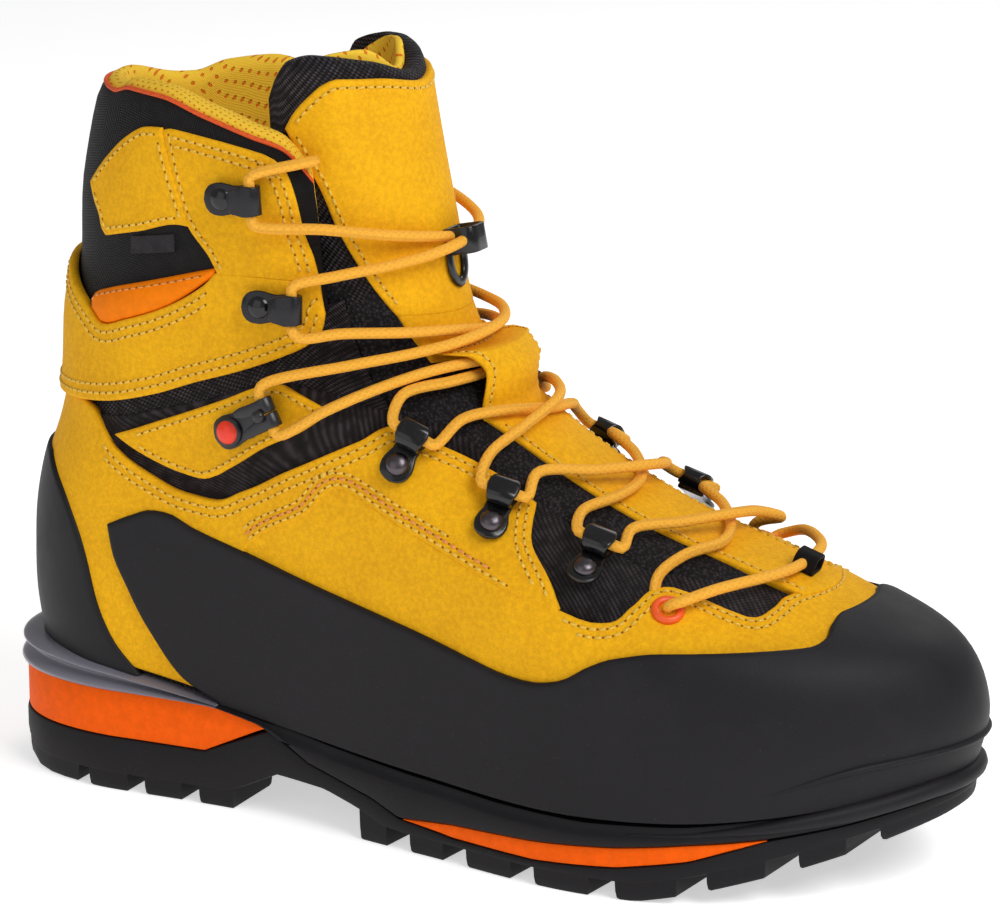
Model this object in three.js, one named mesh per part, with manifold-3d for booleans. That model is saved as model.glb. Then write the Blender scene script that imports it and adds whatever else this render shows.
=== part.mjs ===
// A mountaineering boot for the right foot, as an assembly of its separate pieces.
// Millimetres. +X runs from heel to toe, +Y to the inner (medial) side and +Z up.
// Design coordinates have the upper's heel near x = 0 and the ground at z = 0; the finished group is
// moved so that its origin is the centre of the bottom of its box.
import * as THREE from 'three';
import { mergeVertices } from 'three/addons/utils/BufferGeometryUtils.js';
import Module from 'manifold-3d';

const wasm = await Module();
wasm.setup();

// ---------- driving dimensions: the skin of the last ----------
// The upper's skin is a stack of tilted rings. Each level has a back point and a front point in the
// middle plane, and half widths that change from heel (station 0) to toe (station 1).
const LEVELS = [0, 0.1, 0.2, 0.3, 0.4, 0.5, 0.6, 0.7, 0.8, 0.9, 1.0, 1.1, 1.2];
const BACK_X = [4, 2, 2, 3, 6, 11, 14, 15, 17, 20, 25, 30, 35];
const BACK_Z = [42, 56, 70, 84, 98, 112, 126, 144, 165, 188, 211, 230, 250];
const FRONT_X = [300, 303, 296, 275, 247, 212, 180, 156, 144, 139, 134, 130, 127];
const FRONT_Z = [38, 52, 66, 76, 86, 98, 115, 134, 154, 178, 202, 224, 246];
const STATIONS = [0, 0.12, 0.3, 0.5, 0.7, 0.88, 1];
const FEATHER_SAG = [0, -2, -10, -15, -16, -11, -4];
const TOE_TURN = [0, 0, 0, -1, -1, 4, 7];
const WIDTH_LEVELS = [0, 0.25, 0.5, 0.75, 1, 1.2];
const LATERAL = [
  [33, 34, 35, 45, 55, 50, 40],
  [35, 36, 37, 43, 50, 45, 38],
  [34, 36, 37, 40, 42, 40, 36],
  [33, 35, 37, 38, 38, 36, 34],
  [35, 36, 37, 38, 38, 36, 34],
  [35, 37, 38, 38, 38, 36, 34],
];
const MEDIAL = [
  [33, 34, 33, 36, 46, 48, 42],
  [35, 36, 36, 38, 44, 44, 40],
  [34, 36, 37, 40, 42, 40, 38],
  [33, 35, 37, 38, 38, 36, 34],
  [35, 36, 37, 38, 38, 36, 34],
  [35, 37, 38, 38, 38, 36, 34],
];
const HEEL_ROUND = [40, 42, 42, 44, 48, 50];
const TOE_ROUND = [70, 70, 64, 52, 48, 46];

// ---------- driving dimensions: layers of the upper, as offsets from the skin ----------
const LINING = [-8, -6.8];
const PADDING = [-6.2, -3.4];
const STIFFENER = [-5.4, -4.2];
const TEXTILE = [-2.6, -1.4];
const LEATHER = [0.2, 1.6];
const RUBBER = [2.8, 4.2];
const TONGUE = [-7, -4];
const SHIELD = [-2.6, -1];
const U_STEP = 0.05;

// ---------- driving dimensions: the sole ----------
const GAP = 0.3;
const SOLE_GROW = 4;
const HEEL_GROW = 9;
const LUG_DEPTH = 5.5;
const LUG_SLOT = 8;
const WEDGE_LOW = 17.3;
const WEDGE_HIGH = 32;

// ---------- driving dimensions: lacing ----------
const LACE_R = 2.1;
const LACE_STEPS = 1;
const CLIP_WIDTH = 9;
const CLIP_LIFT = 2.9;
const CLIP_THICK = 1.2;
const CLIP_BEND = 4;
const CLIP_REACH = 11;
const LOCK_REACH = 17;
const PULLEYS = [[0.661, 0.579, 0.724, 0.63], [0.695, 0.491, 0.765, 0.55], [0.72, 0.408, 0.795, 0.468]];
const HOOKS = [[0.586, 0.802, 0.65, 0.806], [0.536, 0.931, 0.6, 0.938]];
const LOCK = [0.461, 0.593, 0.575, 0.66];
const GROMMET = [0.749, 0.338];

// ---------- finishes ----------
const FINISH = {
  nubuck: [0xe6a817, 0.85, 0],
  textile: [0x262326, 0.9, 0],
  rubber: [0x29262a, 0.7, 0],
  foam: [0xff6a00, 0.65, 0],
  orange: [0xff8a10, 0.7, 0],
  welt: [0x66646c, 0.35, 0],
  mesh: [0xf0a020, 0.85, 0],
  board: [0xb9a888, 0.9, 0],
  shank: [0x9aa0a6, 0.4, 1],
  gunmetal: [0x2d2f3a, 0.35, 0.8],
  gloss: [0x141416, 0.2, 0],
  red: [0xf03c1e, 0.35, 0],
  grommet: [0xeb5a1e, 0.4, 0],
  lace: [0xf5b547, 0.75, 0],
  footbed: [0x3a3a40, 0.9, 0],
};

// ---------- the skin ----------
// A cubic through the given values whose slope at each knot is the knot-spaced mean of its sides.
function curve(knots, values, x) {
  const last = knots.length - 1;
  let i = 0;
  while (i < last - 1 && x >= knots[i + 1]) i += 1;
  const slope = (k) => (values[k + 1] - values[k]) / (knots[k + 1] - knots[k]);
  const tangent = (k) => {
    if (k === 0) return slope(0);
    if (k === last) return slope(last - 1);
    const w = (knots[k + 1] - knots[k]) / (knots[k + 1] - knots[k - 1]);
    return slope(k - 1) * w + slope(k) * (1 - w);
  };
  const h = knots[i + 1] - knots[i];
  const s = Math.min(Math.max((x - knots[i]) / h, 0), 1);
  const a = 2 * s ** 3 - 3 * s ** 2 + 1;
  const b = (s ** 3 - 2 * s ** 2 + s) * h;
  const c = 3 * s ** 2 - 2 * s ** 3;
  const d = (s ** 3 - s ** 2) * h;
  return a * values[i] + b * tangent(i) + c * values[i + 1] + d * tangent(i + 1);
}

// Straight lines through [x, y] pairs.
function ramp(pairs, x) {
  let i = 0;
  while (i < pairs.length - 2 && x > pairs[i + 1][0]) i += 1;
  const [x0, y0] = pairs[i];
  const [x1, y1] = pairs[i + 1];
  const s = Math.min(Math.max((x - x0) / (x1 - x0), 0), 1);
  return y0 + (y1 - y0) * s;
}

const quarterRound = (s) => Math.sqrt(Math.max(0, 1 - (1 - Math.min(s, 1)) ** 2));

// u = 0 at the heel, 1 at the toe along the lateral side, and on to 2 back along the medial side.
// v = 0 at the feather line above the sole and 1 at the collar.
function skin(u, v) {
  const turn = ((u % 2) + 2) % 2;
  const side = turn <= 1 ? turn : 2 - turn;
  const t = (1 - Math.cos(Math.PI * side)) / 2;
  const bx = curve(LEVELS, BACK_X, v);
  const bz = curve(LEVELS, BACK_Z, v);
  const fx = curve(LEVELS, FRONT_X, v);
  const fz = curve(LEVELS, FRONT_Z, v);
  const sag = curve(STATIONS, FEATHER_SAG, t) * Math.max(0, 1 - v / 0.35) ** 2;
  const length = Math.hypot(fx - bx, fz - bz);
  const rows = turn <= 1 ? LATERAL : MEDIAL;
  const wide = STATIONS.map((_, k) => curve(WIDTH_LEVELS, rows.map((row) => row[k]), v));
  const heel = quarterRound((t * length) / curve(WIDTH_LEVELS, HEEL_ROUND, v));
  const toe = quarterRound(((1 - t) * length) / curve(WIDTH_LEVELS, TOE_ROUND, v));
  const half = curve(STATIONS, wide, t) * heel * toe;
  const middle = curve(STATIONS, TOE_TURN, t) * Math.min(Math.max(1 - 1.3 * v, 0), 1);
  return new THREE.Vector3(bx + (fx - bx) * t, middle + (turn <= 1 ? -half : half), bz + (fz - bz) * t + sag);
}

function outward(u, v) {
  const e = 0.002;
  const along = skin(u + e, v).sub(skin(u - e, v));
  const up = skin(u, v + e).sub(skin(u, Math.max(v - e, 0)));
  return along.cross(up).normalize();
}

const at = (u, v, lift = 0) => skin(u, v).addScaledVector(outward(u, v), lift);

// ---------- builders ----------
const boot = new THREE.Group();

function add(name, finish, geometry) {
  const [color, roughness, metalness] = FINISH[finish];
  geometry.computeVertexNormals();
  const mesh = new THREE.Mesh(geometry, new THREE.MeshStandardMaterial({ color, roughness, metalness }));
  mesh.name = name;
  boot.add(mesh);
  return mesh;
}

// The u lines of a panel: its two ends, the shared lines between them, and any extra knots.
function lines(from, to, extra = []) {
  const found = [from, to, ...extra];
  for (let k = Math.ceil(from / U_STEP); k <= Math.floor(to / U_STEP); k += 1) {
    if (found.every((u) => Math.abs(u - k * U_STEP) > 0.012)) found.push(k * U_STEP);
  }
  return found.sort((a, b) => a - b);
}

// A panel of the upper: a closed body between two offsets of the skin, from low(u) to high(u).
function panel(us, low, high, layer, rows, closed = false) {
  const [inner, outer] = layer;
  const points = [];
  for (const u of us) {
    for (let j = 0; j <= rows; j += 1) {
      const v = low(u) + ((high(u) - low(u)) * j) / rows;
      const base = skin(u, v);
      const normal = outward(u, v);
      points.push(base.clone().addScaledVector(normal, outer), base.clone().addScaledVector(normal, inner));
    }
  }
  const wide = (rows + 1) * 2;
  const out = (i, j) => (i % us.length) * wide + j * 2;
  const inn = (i, j) => out(i, j) + 1;
  const index = [];
  const quad = (a, b, c, d) => index.push(a, b, c, a, c, d);
  const columns = closed ? us.length : us.length - 1;
  for (let i = 0; i < columns; i += 1) {
    for (let j = 0; j < rows; j += 1) {
      quad(out(i, j), out(i + 1, j), out(i + 1, j + 1), out(i, j + 1));
      quad(inn(i, j), inn(i, j + 1), inn(i + 1, j + 1), inn(i + 1, j));
    }
    quad(out(i, rows), out(i + 1, rows), inn(i + 1, rows), inn(i, rows));
    quad(out(i, 0), inn(i, 0), inn(i + 1, 0), out(i + 1, 0));
  }
  if (!closed) {
    const end = us.length - 1;
    for (let j = 0; j < rows; j += 1) {
      quad(out(0, j), out(0, j + 1), inn(0, j + 1), inn(0, j));
      quad(out(end, j), inn(end, j), inn(end, j + 1), out(end, j + 1));
    }
  }
  const geometry = new THREE.BufferGeometry().setFromPoints(points);
  geometry.setIndex(index);
  return geometry;
}

// The same edge on both sides: a table of [u, v] for the lateral side, read at the mirrored u.
const bothSides = (pairs) => (u) => {
  const turn = ((u % 2) + 2) % 2;
  return ramp(pairs, turn <= 1 ? turn : 2 - turn);
};
const level = (v) => () => v;

function toSolid(geometry) {
  const bare = geometry.clone();
  for (const name of Object.keys(bare.attributes)) {
    if (name !== 'position') bare.deleteAttribute(name);
  }
  const merged = mergeVertices(bare, 1e-5);
  const vertProperties = new Float32Array(merged.attributes.position.array);
  const triVerts = new Uint32Array(merged.index.array);
  return new wasm.Manifold(new wasm.Mesh({ numProp: 3, vertProperties, triVerts }));
}

function toGeometry(solid) {
  const mesh = solid.getMesh();
  const geometry = new THREE.BufferGeometry();
  geometry.setAttribute('position', new THREE.BufferAttribute(new Float32Array(mesh.vertProperties), 3));
  geometry.setIndex(Array.from(mesh.triVerts));
  return geometry;
}

const shapeOf = (points) => new THREE.Shape(points.map(([x, y]) => new THREE.Vector2(x, y)));

// A plan outline made solid between two heights.
function planBlock(points, low, high) {
  const geometry = new THREE.ExtrudeGeometry(shapeOf(points), { depth: high - low, bevelEnabled: false });
  return geometry.translate(0, 0, low);
}

// A side outline in X and Z made solid across the boot.
function sideBlock(points, half = 90) {
  const geometry = new THREE.ExtrudeGeometry(shapeOf(points), { depth: 2 * half, bevelEnabled: false });
  return geometry.rotateX(Math.PI / 2).translate(0, half, 0);
}

// The sole's plan outline: the feather line pushed outward, most at the back of the heel.
function soleOutline(grow) {
  const points = [];
  for (let k = 0; k < 48; k += 1) {
    const u = (k * 2) / 48;
    const p = skin(u, 0);
    const n = outward(u, 0).setZ(0).normalize();
    const heel = Math.exp(-(((p.x - 4) / 22) ** 2));
    const reach = SOLE_GROW + (HEEL_GROW - SOLE_GROW) * heel + grow;
    points.push([p.x + n.x * reach, p.y + n.y * reach]);
  }
  return points;
}

// A layer of the sole: where a plan outline and a side outline meet.
const layerOf = (outline, side) => toSolid(planBlock(outline, -10, 80)).intersect(toSolid(sideBlock(side)));

// ---------- sole ----------
const BOTTOM_HEEL = [[-8, 12], [-5, 8], [2, 2.5], [11, 0], [84, 0], [89, 6], [100, 14], [118, 13], [134.5, 9.5]];
const BOTTOM_FRONT = [[138, 0], [226, 0], [240, 3], [255, 7], [270, 11], [285, 15.5], [300, 21], [312, 27]];
const bottomAt = (x) => ramp([...BOTTOM_HEEL, ...BOTTOM_FRONT], x);
// Height of the feather line in the middle of the sole's edge, used as the top of the sole.
const FEATHER = [[-8, 41.2], [20, 40.4], [40, 38.6], [60, 35.6], [78, 32.7], [96, 29.6], [120, 26.2], [150, 23.4],
  [180, 21.8], [210, 21.4], [240, 23], [262, 25.6], [285, 29.4], [300, 32.6], [312, 34]];
const OUTSOLE_TOP = [[312, 30.2], [280, 23], [262, 20], [241, 13.2], [220, 9.5], [194, 7.5], [165, 7.7],
  [146, 9.7], [136, 14], [112, 20], [97.5, 27.4], [74, WEDGE_LOW - GAP], [-8, WEDGE_LOW - GAP]];

function grooves() {
  const cuts = [];
  const slot = (x, y, length, width, angle) => {
    const top = bottomAt(x) + LUG_DEPTH;
    const box = new THREE.BoxGeometry(width, length, top + 6);
    box.rotateZ(angle).translate(x, y, (top - 6) / 2);
    cuts.push(toSolid(box));
  };
  for (const side of [-1, 1]) {
    for (const x of [31, 50, 69]) slot(x, side * 34, 30, x < 40 ? 4 : 6, 0);
    for (const x of [145, 165.5, 190, 216, 242, 265, 284]) {
      const edge = side < 0 ? skin(x / 305, 0).y : 0;
      const reach = side < 0 ? Math.min(edge, -40) : 44;
      slot(x, x > 250 ? reach * 0.75 : reach, x > 250 ? 26 : 34, LUG_SLOT, side * -0.12);
    }
  }
  slot(40, 0, 4.5, 44, 0);
  for (const x of [155, 178, 203, 229, 253]) slot(x, 3, 26, 5, 0);
  return cuts;
}

let outsole = layerOf(soleOutline(0), [...BOTTOM_HEEL, ...BOTTOM_FRONT, ...OUTSOLE_TOP]);
for (const cut of grooves()) outsole = outsole.subtract(cut);
add('outsole', 'rubber', toGeometry(outsole));

add('heel_wedge', 'foam', toGeometry(layerOf(soleOutline(-0.6), [[-8, WEDGE_LOW], [74, WEDGE_LOW], [94, 26.8],
  [93, 28.9], [77, WEDGE_HIGH], [-8, WEDGE_HIGH]])));

add('forefoot_wedge', 'foam', toGeometry(layerOf(soleOutline(-0.6), [[147, 10], [165, 8], [194, 7.8], [220, 9.8],
  [241, 13.5], [260, 19.6], [241, 18.3], [220, 15.6], [194, 13.4], [165, 12]])));

const welted = FEATHER.filter(([x]) => x < 79);
add('heel_welt', 'welt', toGeometry(layerOf(soleOutline(0.6), [[-8, WEDGE_HIGH + GAP], [77, WEDGE_HIGH + GAP],
  [79, WEDGE_HIGH - 0.2], ...welted.reverse()])));

const rear = [[79.4, 31.9], [94, 29.3], [98, 27.7], [112, 20.3], [136, 14.3], [146, 10.3]];
const over = [[165, 12.3], [194, 13.7], [220, 15.9], [241, 18.6], [262, 20.5], [280, 23.3], [312, 30.5]];
const ahead = FEATHER.filter(([x]) => x > 79).reverse();
add('midsole', 'rubber', toGeometry(layerOf(soleOutline(1), [...rear, ...over, ...ahead])));

// Strips that follow the sole's top line: x from and to, height above it, thickness and half width.
function strip(from, to, above, thick, half) {
  const xs = [];
  for (let k = 0; k <= 12; k += 1) xs.push(from + ((to - from) * k) / 12);
  const low = xs.map((x) => [x, ramp(FEATHER, x) + above]);
  const high = xs.map((x) => [x, ramp(FEATHER, x) + above + thick]).reverse();
  return sideBlock([...low, ...high], half);
}
add('shank', 'shank', strip(40, 190, 0.4, 1.4, 10));

const insideOutline = (inset) => soleOutline(0).map(([x, y], k) => {
  const u = (k * 2) / 48;
  const p = skin(u, 0);
  const n = outward(u, 0).setZ(0).normalize();
  return [p.x - n.x * inset, p.y - n.y * inset];
});
add('insole_board', 'board', toGeometry(toSolid(planBlock(insideOutline(8.6), 0, 90)).intersect(
  toSolid(strip(8, 296, 2.2, 1.8, 80)))));
add('footbed', 'footbed', toGeometry(toSolid(planBlock(insideOutline(10.4), 0, 90)).intersect(
  toSolid(strip(10, 292, 4.4, 3.2, 80)))));

// ---------- upper: foot ----------
const FLEX_LOW = [[0, 0.553], [0.25, 0.56], [0.36, 0.602], [0.46, 0.645], [0.575, 0.69], [0.63, 0.688],
  [0.7, 0.67], [0.8, 0.65], [0.9, 0.645], [1, 0.64]];
const FLEX_HIGH = [[0, 0.585], [0.25, 0.6], [0.36, 0.64], [0.46, 0.69], [0.575, 0.748], [0.66, 0.782],
  [0.74, 0.8]];
const ring = lines(0, 2 - U_STEP);

add('foot_lining', 'mesh', panel(ring, level(0.02), bothSides(FLEX_LOW), LINING, 5, true));
add('foot_textile', 'textile', panel(ring, level(0), bothSides(FLEX_LOW), TEXTILE, 6, true));
add('heel_counter', 'board', panel(lines(1.62, 2.38), level(0.02), bothSides([[0, 0.44], [0.25, 0.4],
  [0.38, 0.2]]), STIFFENER, 3));
add('toe_puff', 'board', panel(lines(0.78, 1.22), level(0.02), bothSides([[0.78, 0.2], [0.86, 0.27], [1, 0.3]]),
  STIFFENER, 3));

const SEAM = [[0.39, 0.3], [0.557, 0.512], [0.611, 0.37], [0.632, 0.315], [0.652, 0.288]];
const VAMP_TOP = [...SEAM, [0.678, 0.3], [0.766, 0.38], [0.795, 0.376], [0.816, 0.318], [0.853, 0.334],
  [0.9, 0.358], [1, 0.362]];
const vampKnots = [0.557, 0.611, 0.632, 0.652, 0.678, 0.766, 0.795, 0.816, 0.853];
const mirrored = (knots) => knots.map((u) => 2 - u);
add('vamp', 'nubuck', panel(lines(0.39, 1.61, [...vampKnots, ...mirrored(vampKnots)]), level(0),
  bothSides(VAMP_TOP), LEATHER, 5));

const QUARTER_LOW = [[0, 0], [0.38, 0], [0.392, 0.314], [0.557, 0.526], [0.611, 0.386], [0.64, 0.33],
  [0.655, 0.36], [0.707, 0.454], [0.785, 0.53]];
const QUARTER_HIGH = [[0, 0.543], [0.24, 0.54], [0.269, 0.496], [0.311, 0.454], [0.344, 0.426], [0.373, 0.422],
  [0.415, 0.459], [0.49, 0.528], [0.574, 0.584], [0.636, 0.616], [0.707, 0.644], [0.745, 0.616], [0.785, 0.584]];
const quarterKnots = [0.269, 0.311, 0.344, 0.38, 0.392, 0.415, 0.557, 0.611, 0.64, 0.655, 0.707, 0.745];
add('quarter_lateral', 'nubuck', panel(lines(0.003, 0.785, quarterKnots), bothSides(QUARTER_LOW),
  bothSides(QUARTER_HIGH), LEATHER, 4));
add('quarter_medial', 'nubuck', panel(lines(1.215, 1.997, mirrored(quarterKnots)), bothSides(QUARTER_LOW),
  bothSides(QUARTER_HIGH), LEATHER, 4));

const PATCH_LOW = [[0.275, 0.518], [0.315, 0.487], [0.348, 0.47], [0.382, 0.466], [0.415, 0.503], [0.486, 0.568],
  [0.624, 0.65]];
const PATCH_HIGH = [[0.275, 0.526], [0.461, 0.637], [0.574, 0.683], [0.6, 0.673], [0.624, 0.657]];
const patchKnots = [0.315, 0.348, 0.382, 0.415, 0.461, 0.486, 0.574];
add('ankle_patch_lateral', 'nubuck', panel(lines(0.275, 0.624, patchKnots), bothSides(PATCH_LOW),
  bothSides(PATCH_HIGH), LEATHER, 1));
add('ankle_patch_medial', 'nubuck', panel(lines(1.376, 1.725, mirrored(patchKnots)), bothSides(PATCH_LOW),
  bothSides(PATCH_HIGH), LEATHER, 1));

const RAND_LOW = [[0.248, 0.25], [0.277, 0.1], [0.305, 0.02], [0.332, 0]];
const RAND_HIGH = [[0.248, 0.32], [0.277, 0.347], [0.313, 0.372], [0.345, 0.343], [0.469, 0.241], [0.545, 0.185],
  [0.582, 0.171], [0.616, 0.185], [0.65, 0.226], [0.69, 0.246], [0.82, 0.25], [0.85, 0.265], [0.88, 0.292],
  [0.92, 0.31], [1, 0.315]];
const randKnots = [0.277, 0.313, 0.332, 0.582, 0.616, 0.85, 0.88];
add('rubber_rand', 'rubber', panel(lines(0.248, 1.752, [...randKnots, ...mirrored(randKnots)]),
  bothSides(RAND_LOW), bothSides(RAND_HIGH), RUBBER, 4));
add('heel_rand', 'rubber', panel(lines(1.764, 2.236, [1.79, 1.814, 2.186, 2.21]), level(0),
  bothSides([[0, 0.43], [0.127, 0.42], [0.186, 0.352], [0.211, 0.27], [0.236, 0.06]]), RUBBER, 4));

// ---------- ankle gusset and cuff ----------
add('ankle_gusset', 'textile', panel(ring.filter((u) => u < 0.72 || u > 1.28).map((u) => (u > 1 ? u - 2 : u))
  .sort((a, b) => a - b), (u) => bothSides(FLEX_LOW)(u) + 0.004, (u) => bothSides(FLEX_HIGH)(u) - 0.004, TEXTILE, 1));
const CUFF_TOP = [[0, 1.035], [0.23, 1.035], [0.3, 1.05], [0.39, 1.05], [0.5, 1.03], [0.64, 1.005], [0.68, 0.98]];
add('cuff_textile', 'textile', panel(lines(-0.68, 0.68), bothSides(FLEX_HIGH), bothSides(CUFF_TOP), TEXTILE, 4));
add('collar_lining', 'mesh', panel(lines(-0.6, 0.6), bothSides(FLEX_HIGH), bothSides(CUFF_TOP), LINING, 3));
add('collar_padding', 'orange', panel(lines(-0.6, 0.6), level(0.8), (u) => bothSides(CUFF_TOP)(u) - 0.012,
  PADDING, 2));

const CUFF_LOW = [[0, 0.572], [0.16, 0.572], [0.257, 0.588], [0.357, 0.627], [0.52, 0.7], [0.595, 0.732],
  [0.657, 0.764], [0.68, 0.785]];
const CUFF_HIGH = [[0, 0.78], [0.12, 0.775], [0.24, 0.737], [0.277, 0.718], [0.332, 0.737], [0.411, 0.769],
  [0.455, 0.786], [0.472, 0.99], [0.6, 0.992], [0.64, 0.975], [0.657, 0.945], [0.68, 0.84]];
const cuffKnots = [0.277, 0.332, 0.411, 0.455, 0.472, 0.657];
add('cuff_leather', 'nubuck', panel(lines(-0.68, 0.68, [...cuffKnots, ...cuffKnots.map((u) => -u)]),
  bothSides(CUFF_LOW), bothSides(CUFF_HIGH), LEATHER, 3));
const TAB_LOW = [[0.215, 0.893], [0.269, 0.862], [0.29, 0.845], [0.455, 0.885]];
const TAB_HIGH = [[0.215, 0.905], [0.328, 0.978], [0.39, 0.998], [0.455, 1]];
const INSERT_HIGH = [[0.246, 0.752], [0.269, 0.769], [0.45, 0.822]];
const insertLow = (u) => bothSides(CUFF_HIGH)(u) + 0.006;
const spans = [['lateral', (from, to) => [from, to]], ['medial', (from, to) => [2 - to, 2 - from]]];
for (const [side, mirror] of spans) {
  add(`cuff_tab_${side}`, 'nubuck', panel(lines(...mirror(0.215, 0.455), mirror(0.269, 0.328)),
    bothSides(TAB_LOW), bothSides(TAB_HIGH), LEATHER, 1));
  add(`cuff_insert_${side}`, 'orange', panel(lines(...mirror(0.246, 0.45), mirror(0.277, 0.411)),
    insertLow, bothSides(INSERT_HIGH), LEATHER, 1));
}

// ---------- tongue ----------
add('tongue_foot', 'nubuck', panel(lines(0.88, 1.12), level(0.39), level(0.632), LEATHER, 3));
add('tongue_bend', 'textile', panel(lines(0.8, 1.2), level(0.668), level(0.786), TEXTILE, 2));
const TONGUE_SIDE = [[0.64, 0.84], [0.74, 0.81], [1, 0.8]];
add('tongue_pad', 'textile', panel(lines(0.64, 1.36), bothSides(TONGUE_SIDE), bothSides([[0.64, 0.955], [0.8, 0.975],
  [1, 0.985]]), TONGUE, 3));
add('tongue_shield', 'nubuck', panel(lines(0.72, 1.28), bothSides([[0.72, 0.92], [0.8, 0.83], [1, 0.82]]),
  bothSides([[0.72, 0.96], [0.8, 0.97], [1, 0.98]]), SHIELD, 2));
add('tongue_tip', 'textile', panel(lines(0.66, 1.34), bothSides([[0.66, 1.04], [0.8, 1.005], [1, 0.995]]),
  bothSides([[0.66, 1.13], [0.72, 1.14], [1, 1.125]]), TONGUE, 2));
add('tongue_tip_shield', 'nubuck', panel(lines(0.72, 1.28), bothSides([[0.72, 1.03], [0.8, 1.0], [1, 0.99]]),
  bothSides([[0.72, 1.085], [0.76, 1.108], [1, 1.1]]), SHIELD, 2));

// A leather loop over the tongue's bend, which the lace runs under: [level, lift] along its inner face.
const LOOP = [[0.655, -0.8], [0.668, 1], [0.68, 5], [0.692, 8.2], [0.7, 8.8], [0.728, 8.8], [0.737, 6],
  [0.743, 2], [0.752, -0.8]];
const LOOP_THICK = 1.2;
const LOOP_HALF = 9;
const loopLine = (extra) => LOOP.map(([v, lift]) => at(1, v, lift + extra)).map((p) => [p.x, p.z]);
add('tongue_loop', 'nubuck', sideBlock([...loopLine(0), ...loopLine(LOOP_THICK).reverse()], LOOP_HALF));

// ---------- lacing hardware ----------
// A frame on the skin: X from the first place to the second, Z outward.
function frameAt(u, v, u2, v2, lift) {
  const origin = at(u, v, lift);
  const z = outward((u + u2) / 2, (v + v2) / 2);
  const x = at(u2, v2, lift).sub(origin);
  x.addScaledVector(z, -x.dot(z)).normalize();
  const y = z.clone().cross(x);
  return new THREE.Matrix4().makeBasis(x, y, z).setPosition(origin);
}

// A bent metal clip: a plate that turns over a round end; its side outline is extruded across it.
function clipBody(closed, reach = CLIP_REACH) {
  const r = CLIP_BEND;
  const shape = new THREE.Shape();
  shape.moveTo(-5.5, 0);
  shape.lineTo(reach, 0);
  shape.absarc(reach, r, r, -Math.PI / 2, Math.PI / 2, false);
  if (closed) {
    const start = Math.PI / 2;
    const end = Math.PI + Math.asin((r - CLIP_THICK) / r);
    shape.lineTo(reach - 3, 2 * r);
    shape.absarc(reach - 3, r, r, start, end, false);
    const hole = new THREE.Path();
    hole.absarc(reach, r, r - CLIP_THICK, -Math.PI / 2, Math.PI / 2, false);
    hole.absarc(reach - 3, r, r - CLIP_THICK, Math.PI / 2, Math.PI * 1.5, false);
    shape.holes.push(hole);
  } else {
    shape.lineTo(reach - 6, 2 * r);
    shape.lineTo(reach - 6, 2 * r - CLIP_THICK);
    shape.lineTo(reach, 2 * r - CLIP_THICK);
    shape.absarc(reach, r, r - CLIP_THICK, Math.PI / 2, -Math.PI / 2, true);
  }
  shape.lineTo(-5.5, CLIP_THICK);
  shape.closePath();
  const geometry = new THREE.ExtrudeGeometry(shape, { depth: CLIP_WIDTH, bevelEnabled: false, curveSegments: 5 });
  return geometry.translate(0, 0, -CLIP_WIDTH / 2).rotateX(Math.PI / 2);
}

function rivetHead(low, radius, segments = 10) {
  const profile = [[0, low], [radius, low], [radius, 2], [radius * 0.6, 3.2], [0, 3.5]];
  const geometry = new THREE.LatheGeometry(profile.map(([x, y]) => new THREE.Vector2(x, y)), segments);
  return geometry.rotateX(Math.PI / 2);
}

function riveted(closed) {
  return toGeometry(toSolid(clipBody(closed)).add(toSolid(rivetHead(0.5, 4))));
}

const sides = [['lateral', (u) => u], ['medial', (u) => 2 - u]];
const clipFrames = {};
for (const [side, flip] of sides) {
  PULLEYS.forEach(([u, v, u2, v2], k) => {
    const name = `pulley_${k + 1}_${side}`;
    clipFrames[name] = frameAt(flip(u), v, flip(u2), v2, CLIP_LIFT);
    add(name, 'gloss', riveted(true)).applyMatrix4(clipFrames[name]);
  });
  HOOKS.forEach(([u, v, u2, v2], k) => {
    const name = `hook_${k + 1}_${side}`;
    clipFrames[name] = frameAt(flip(u), v, flip(u2), v2, CLIP_LIFT);
    add(name, 'gunmetal', riveted(false)).applyMatrix4(clipFrames[name]);
  });
  const lock = frameAt(flip(LOCK[0]), LOCK[1], flip(LOCK[2]), LOCK[3], CLIP_LIFT);
  clipFrames[`lock_${side}`] = lock;
  add(`lock_hook_${side}`, 'gunmetal', clipBody(false, LOCK_REACH)).applyMatrix4(lock);
  add(`lock_rivet_${side}`, 'red', rivetHead(CLIP_THICK + GAP, 3.8)).applyMatrix4(lock);
  const [gu, gv] = GROMMET;
  const ringProfile = [[3, 0], [6, 0], [6, 0.8], [5, 1.4], [3, 1.4], [3, 0]];
  const eyelet = new THREE.LatheGeometry(ringProfile.map(([x, y]) => new THREE.Vector2(x, y)), 14);
  add(`grommet_${side}`, 'grommet', eyelet.rotateX(Math.PI / 2)).applyMatrix4(
    frameAt(flip(gu), gv, flip(gu + 0.05), gv + 0.03, 2.6));
}

// Keepers: flat loops on the middle line that the lace runs under.
function keeper(frame, width, length, height) {
  const shape = shapeOf([[-width / 2, 0], [width / 2, 0], [width / 2, height], [-width / 2, height]]);
  shape.holes.push(new THREE.Path([[-1, 1], [1, 1], [1, -1], [-1, -1]].map(([a, b]) => new THREE.Vector2(
    (a * (width - 3)) / 2, height / 2 + (b * (height - 2.4)) / 2))));
  const geometry = new THREE.ExtrudeGeometry(shape, { depth: length, bevelEnabled: false });
  return geometry.translate(0, 0, -length / 2).rotateX(Math.PI / 2).applyMatrix4(frame);
}
add('tongue_keeper', 'gloss', keeper(frameAt(1, 0.885, 1, 0.91, -0.6), 13, 11, 13.4));
add('toe_keeper', 'textile', keeper(frameAt(1, 0.385, 1, 0.41, 2.2), 10, 9, 8.2));

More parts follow.
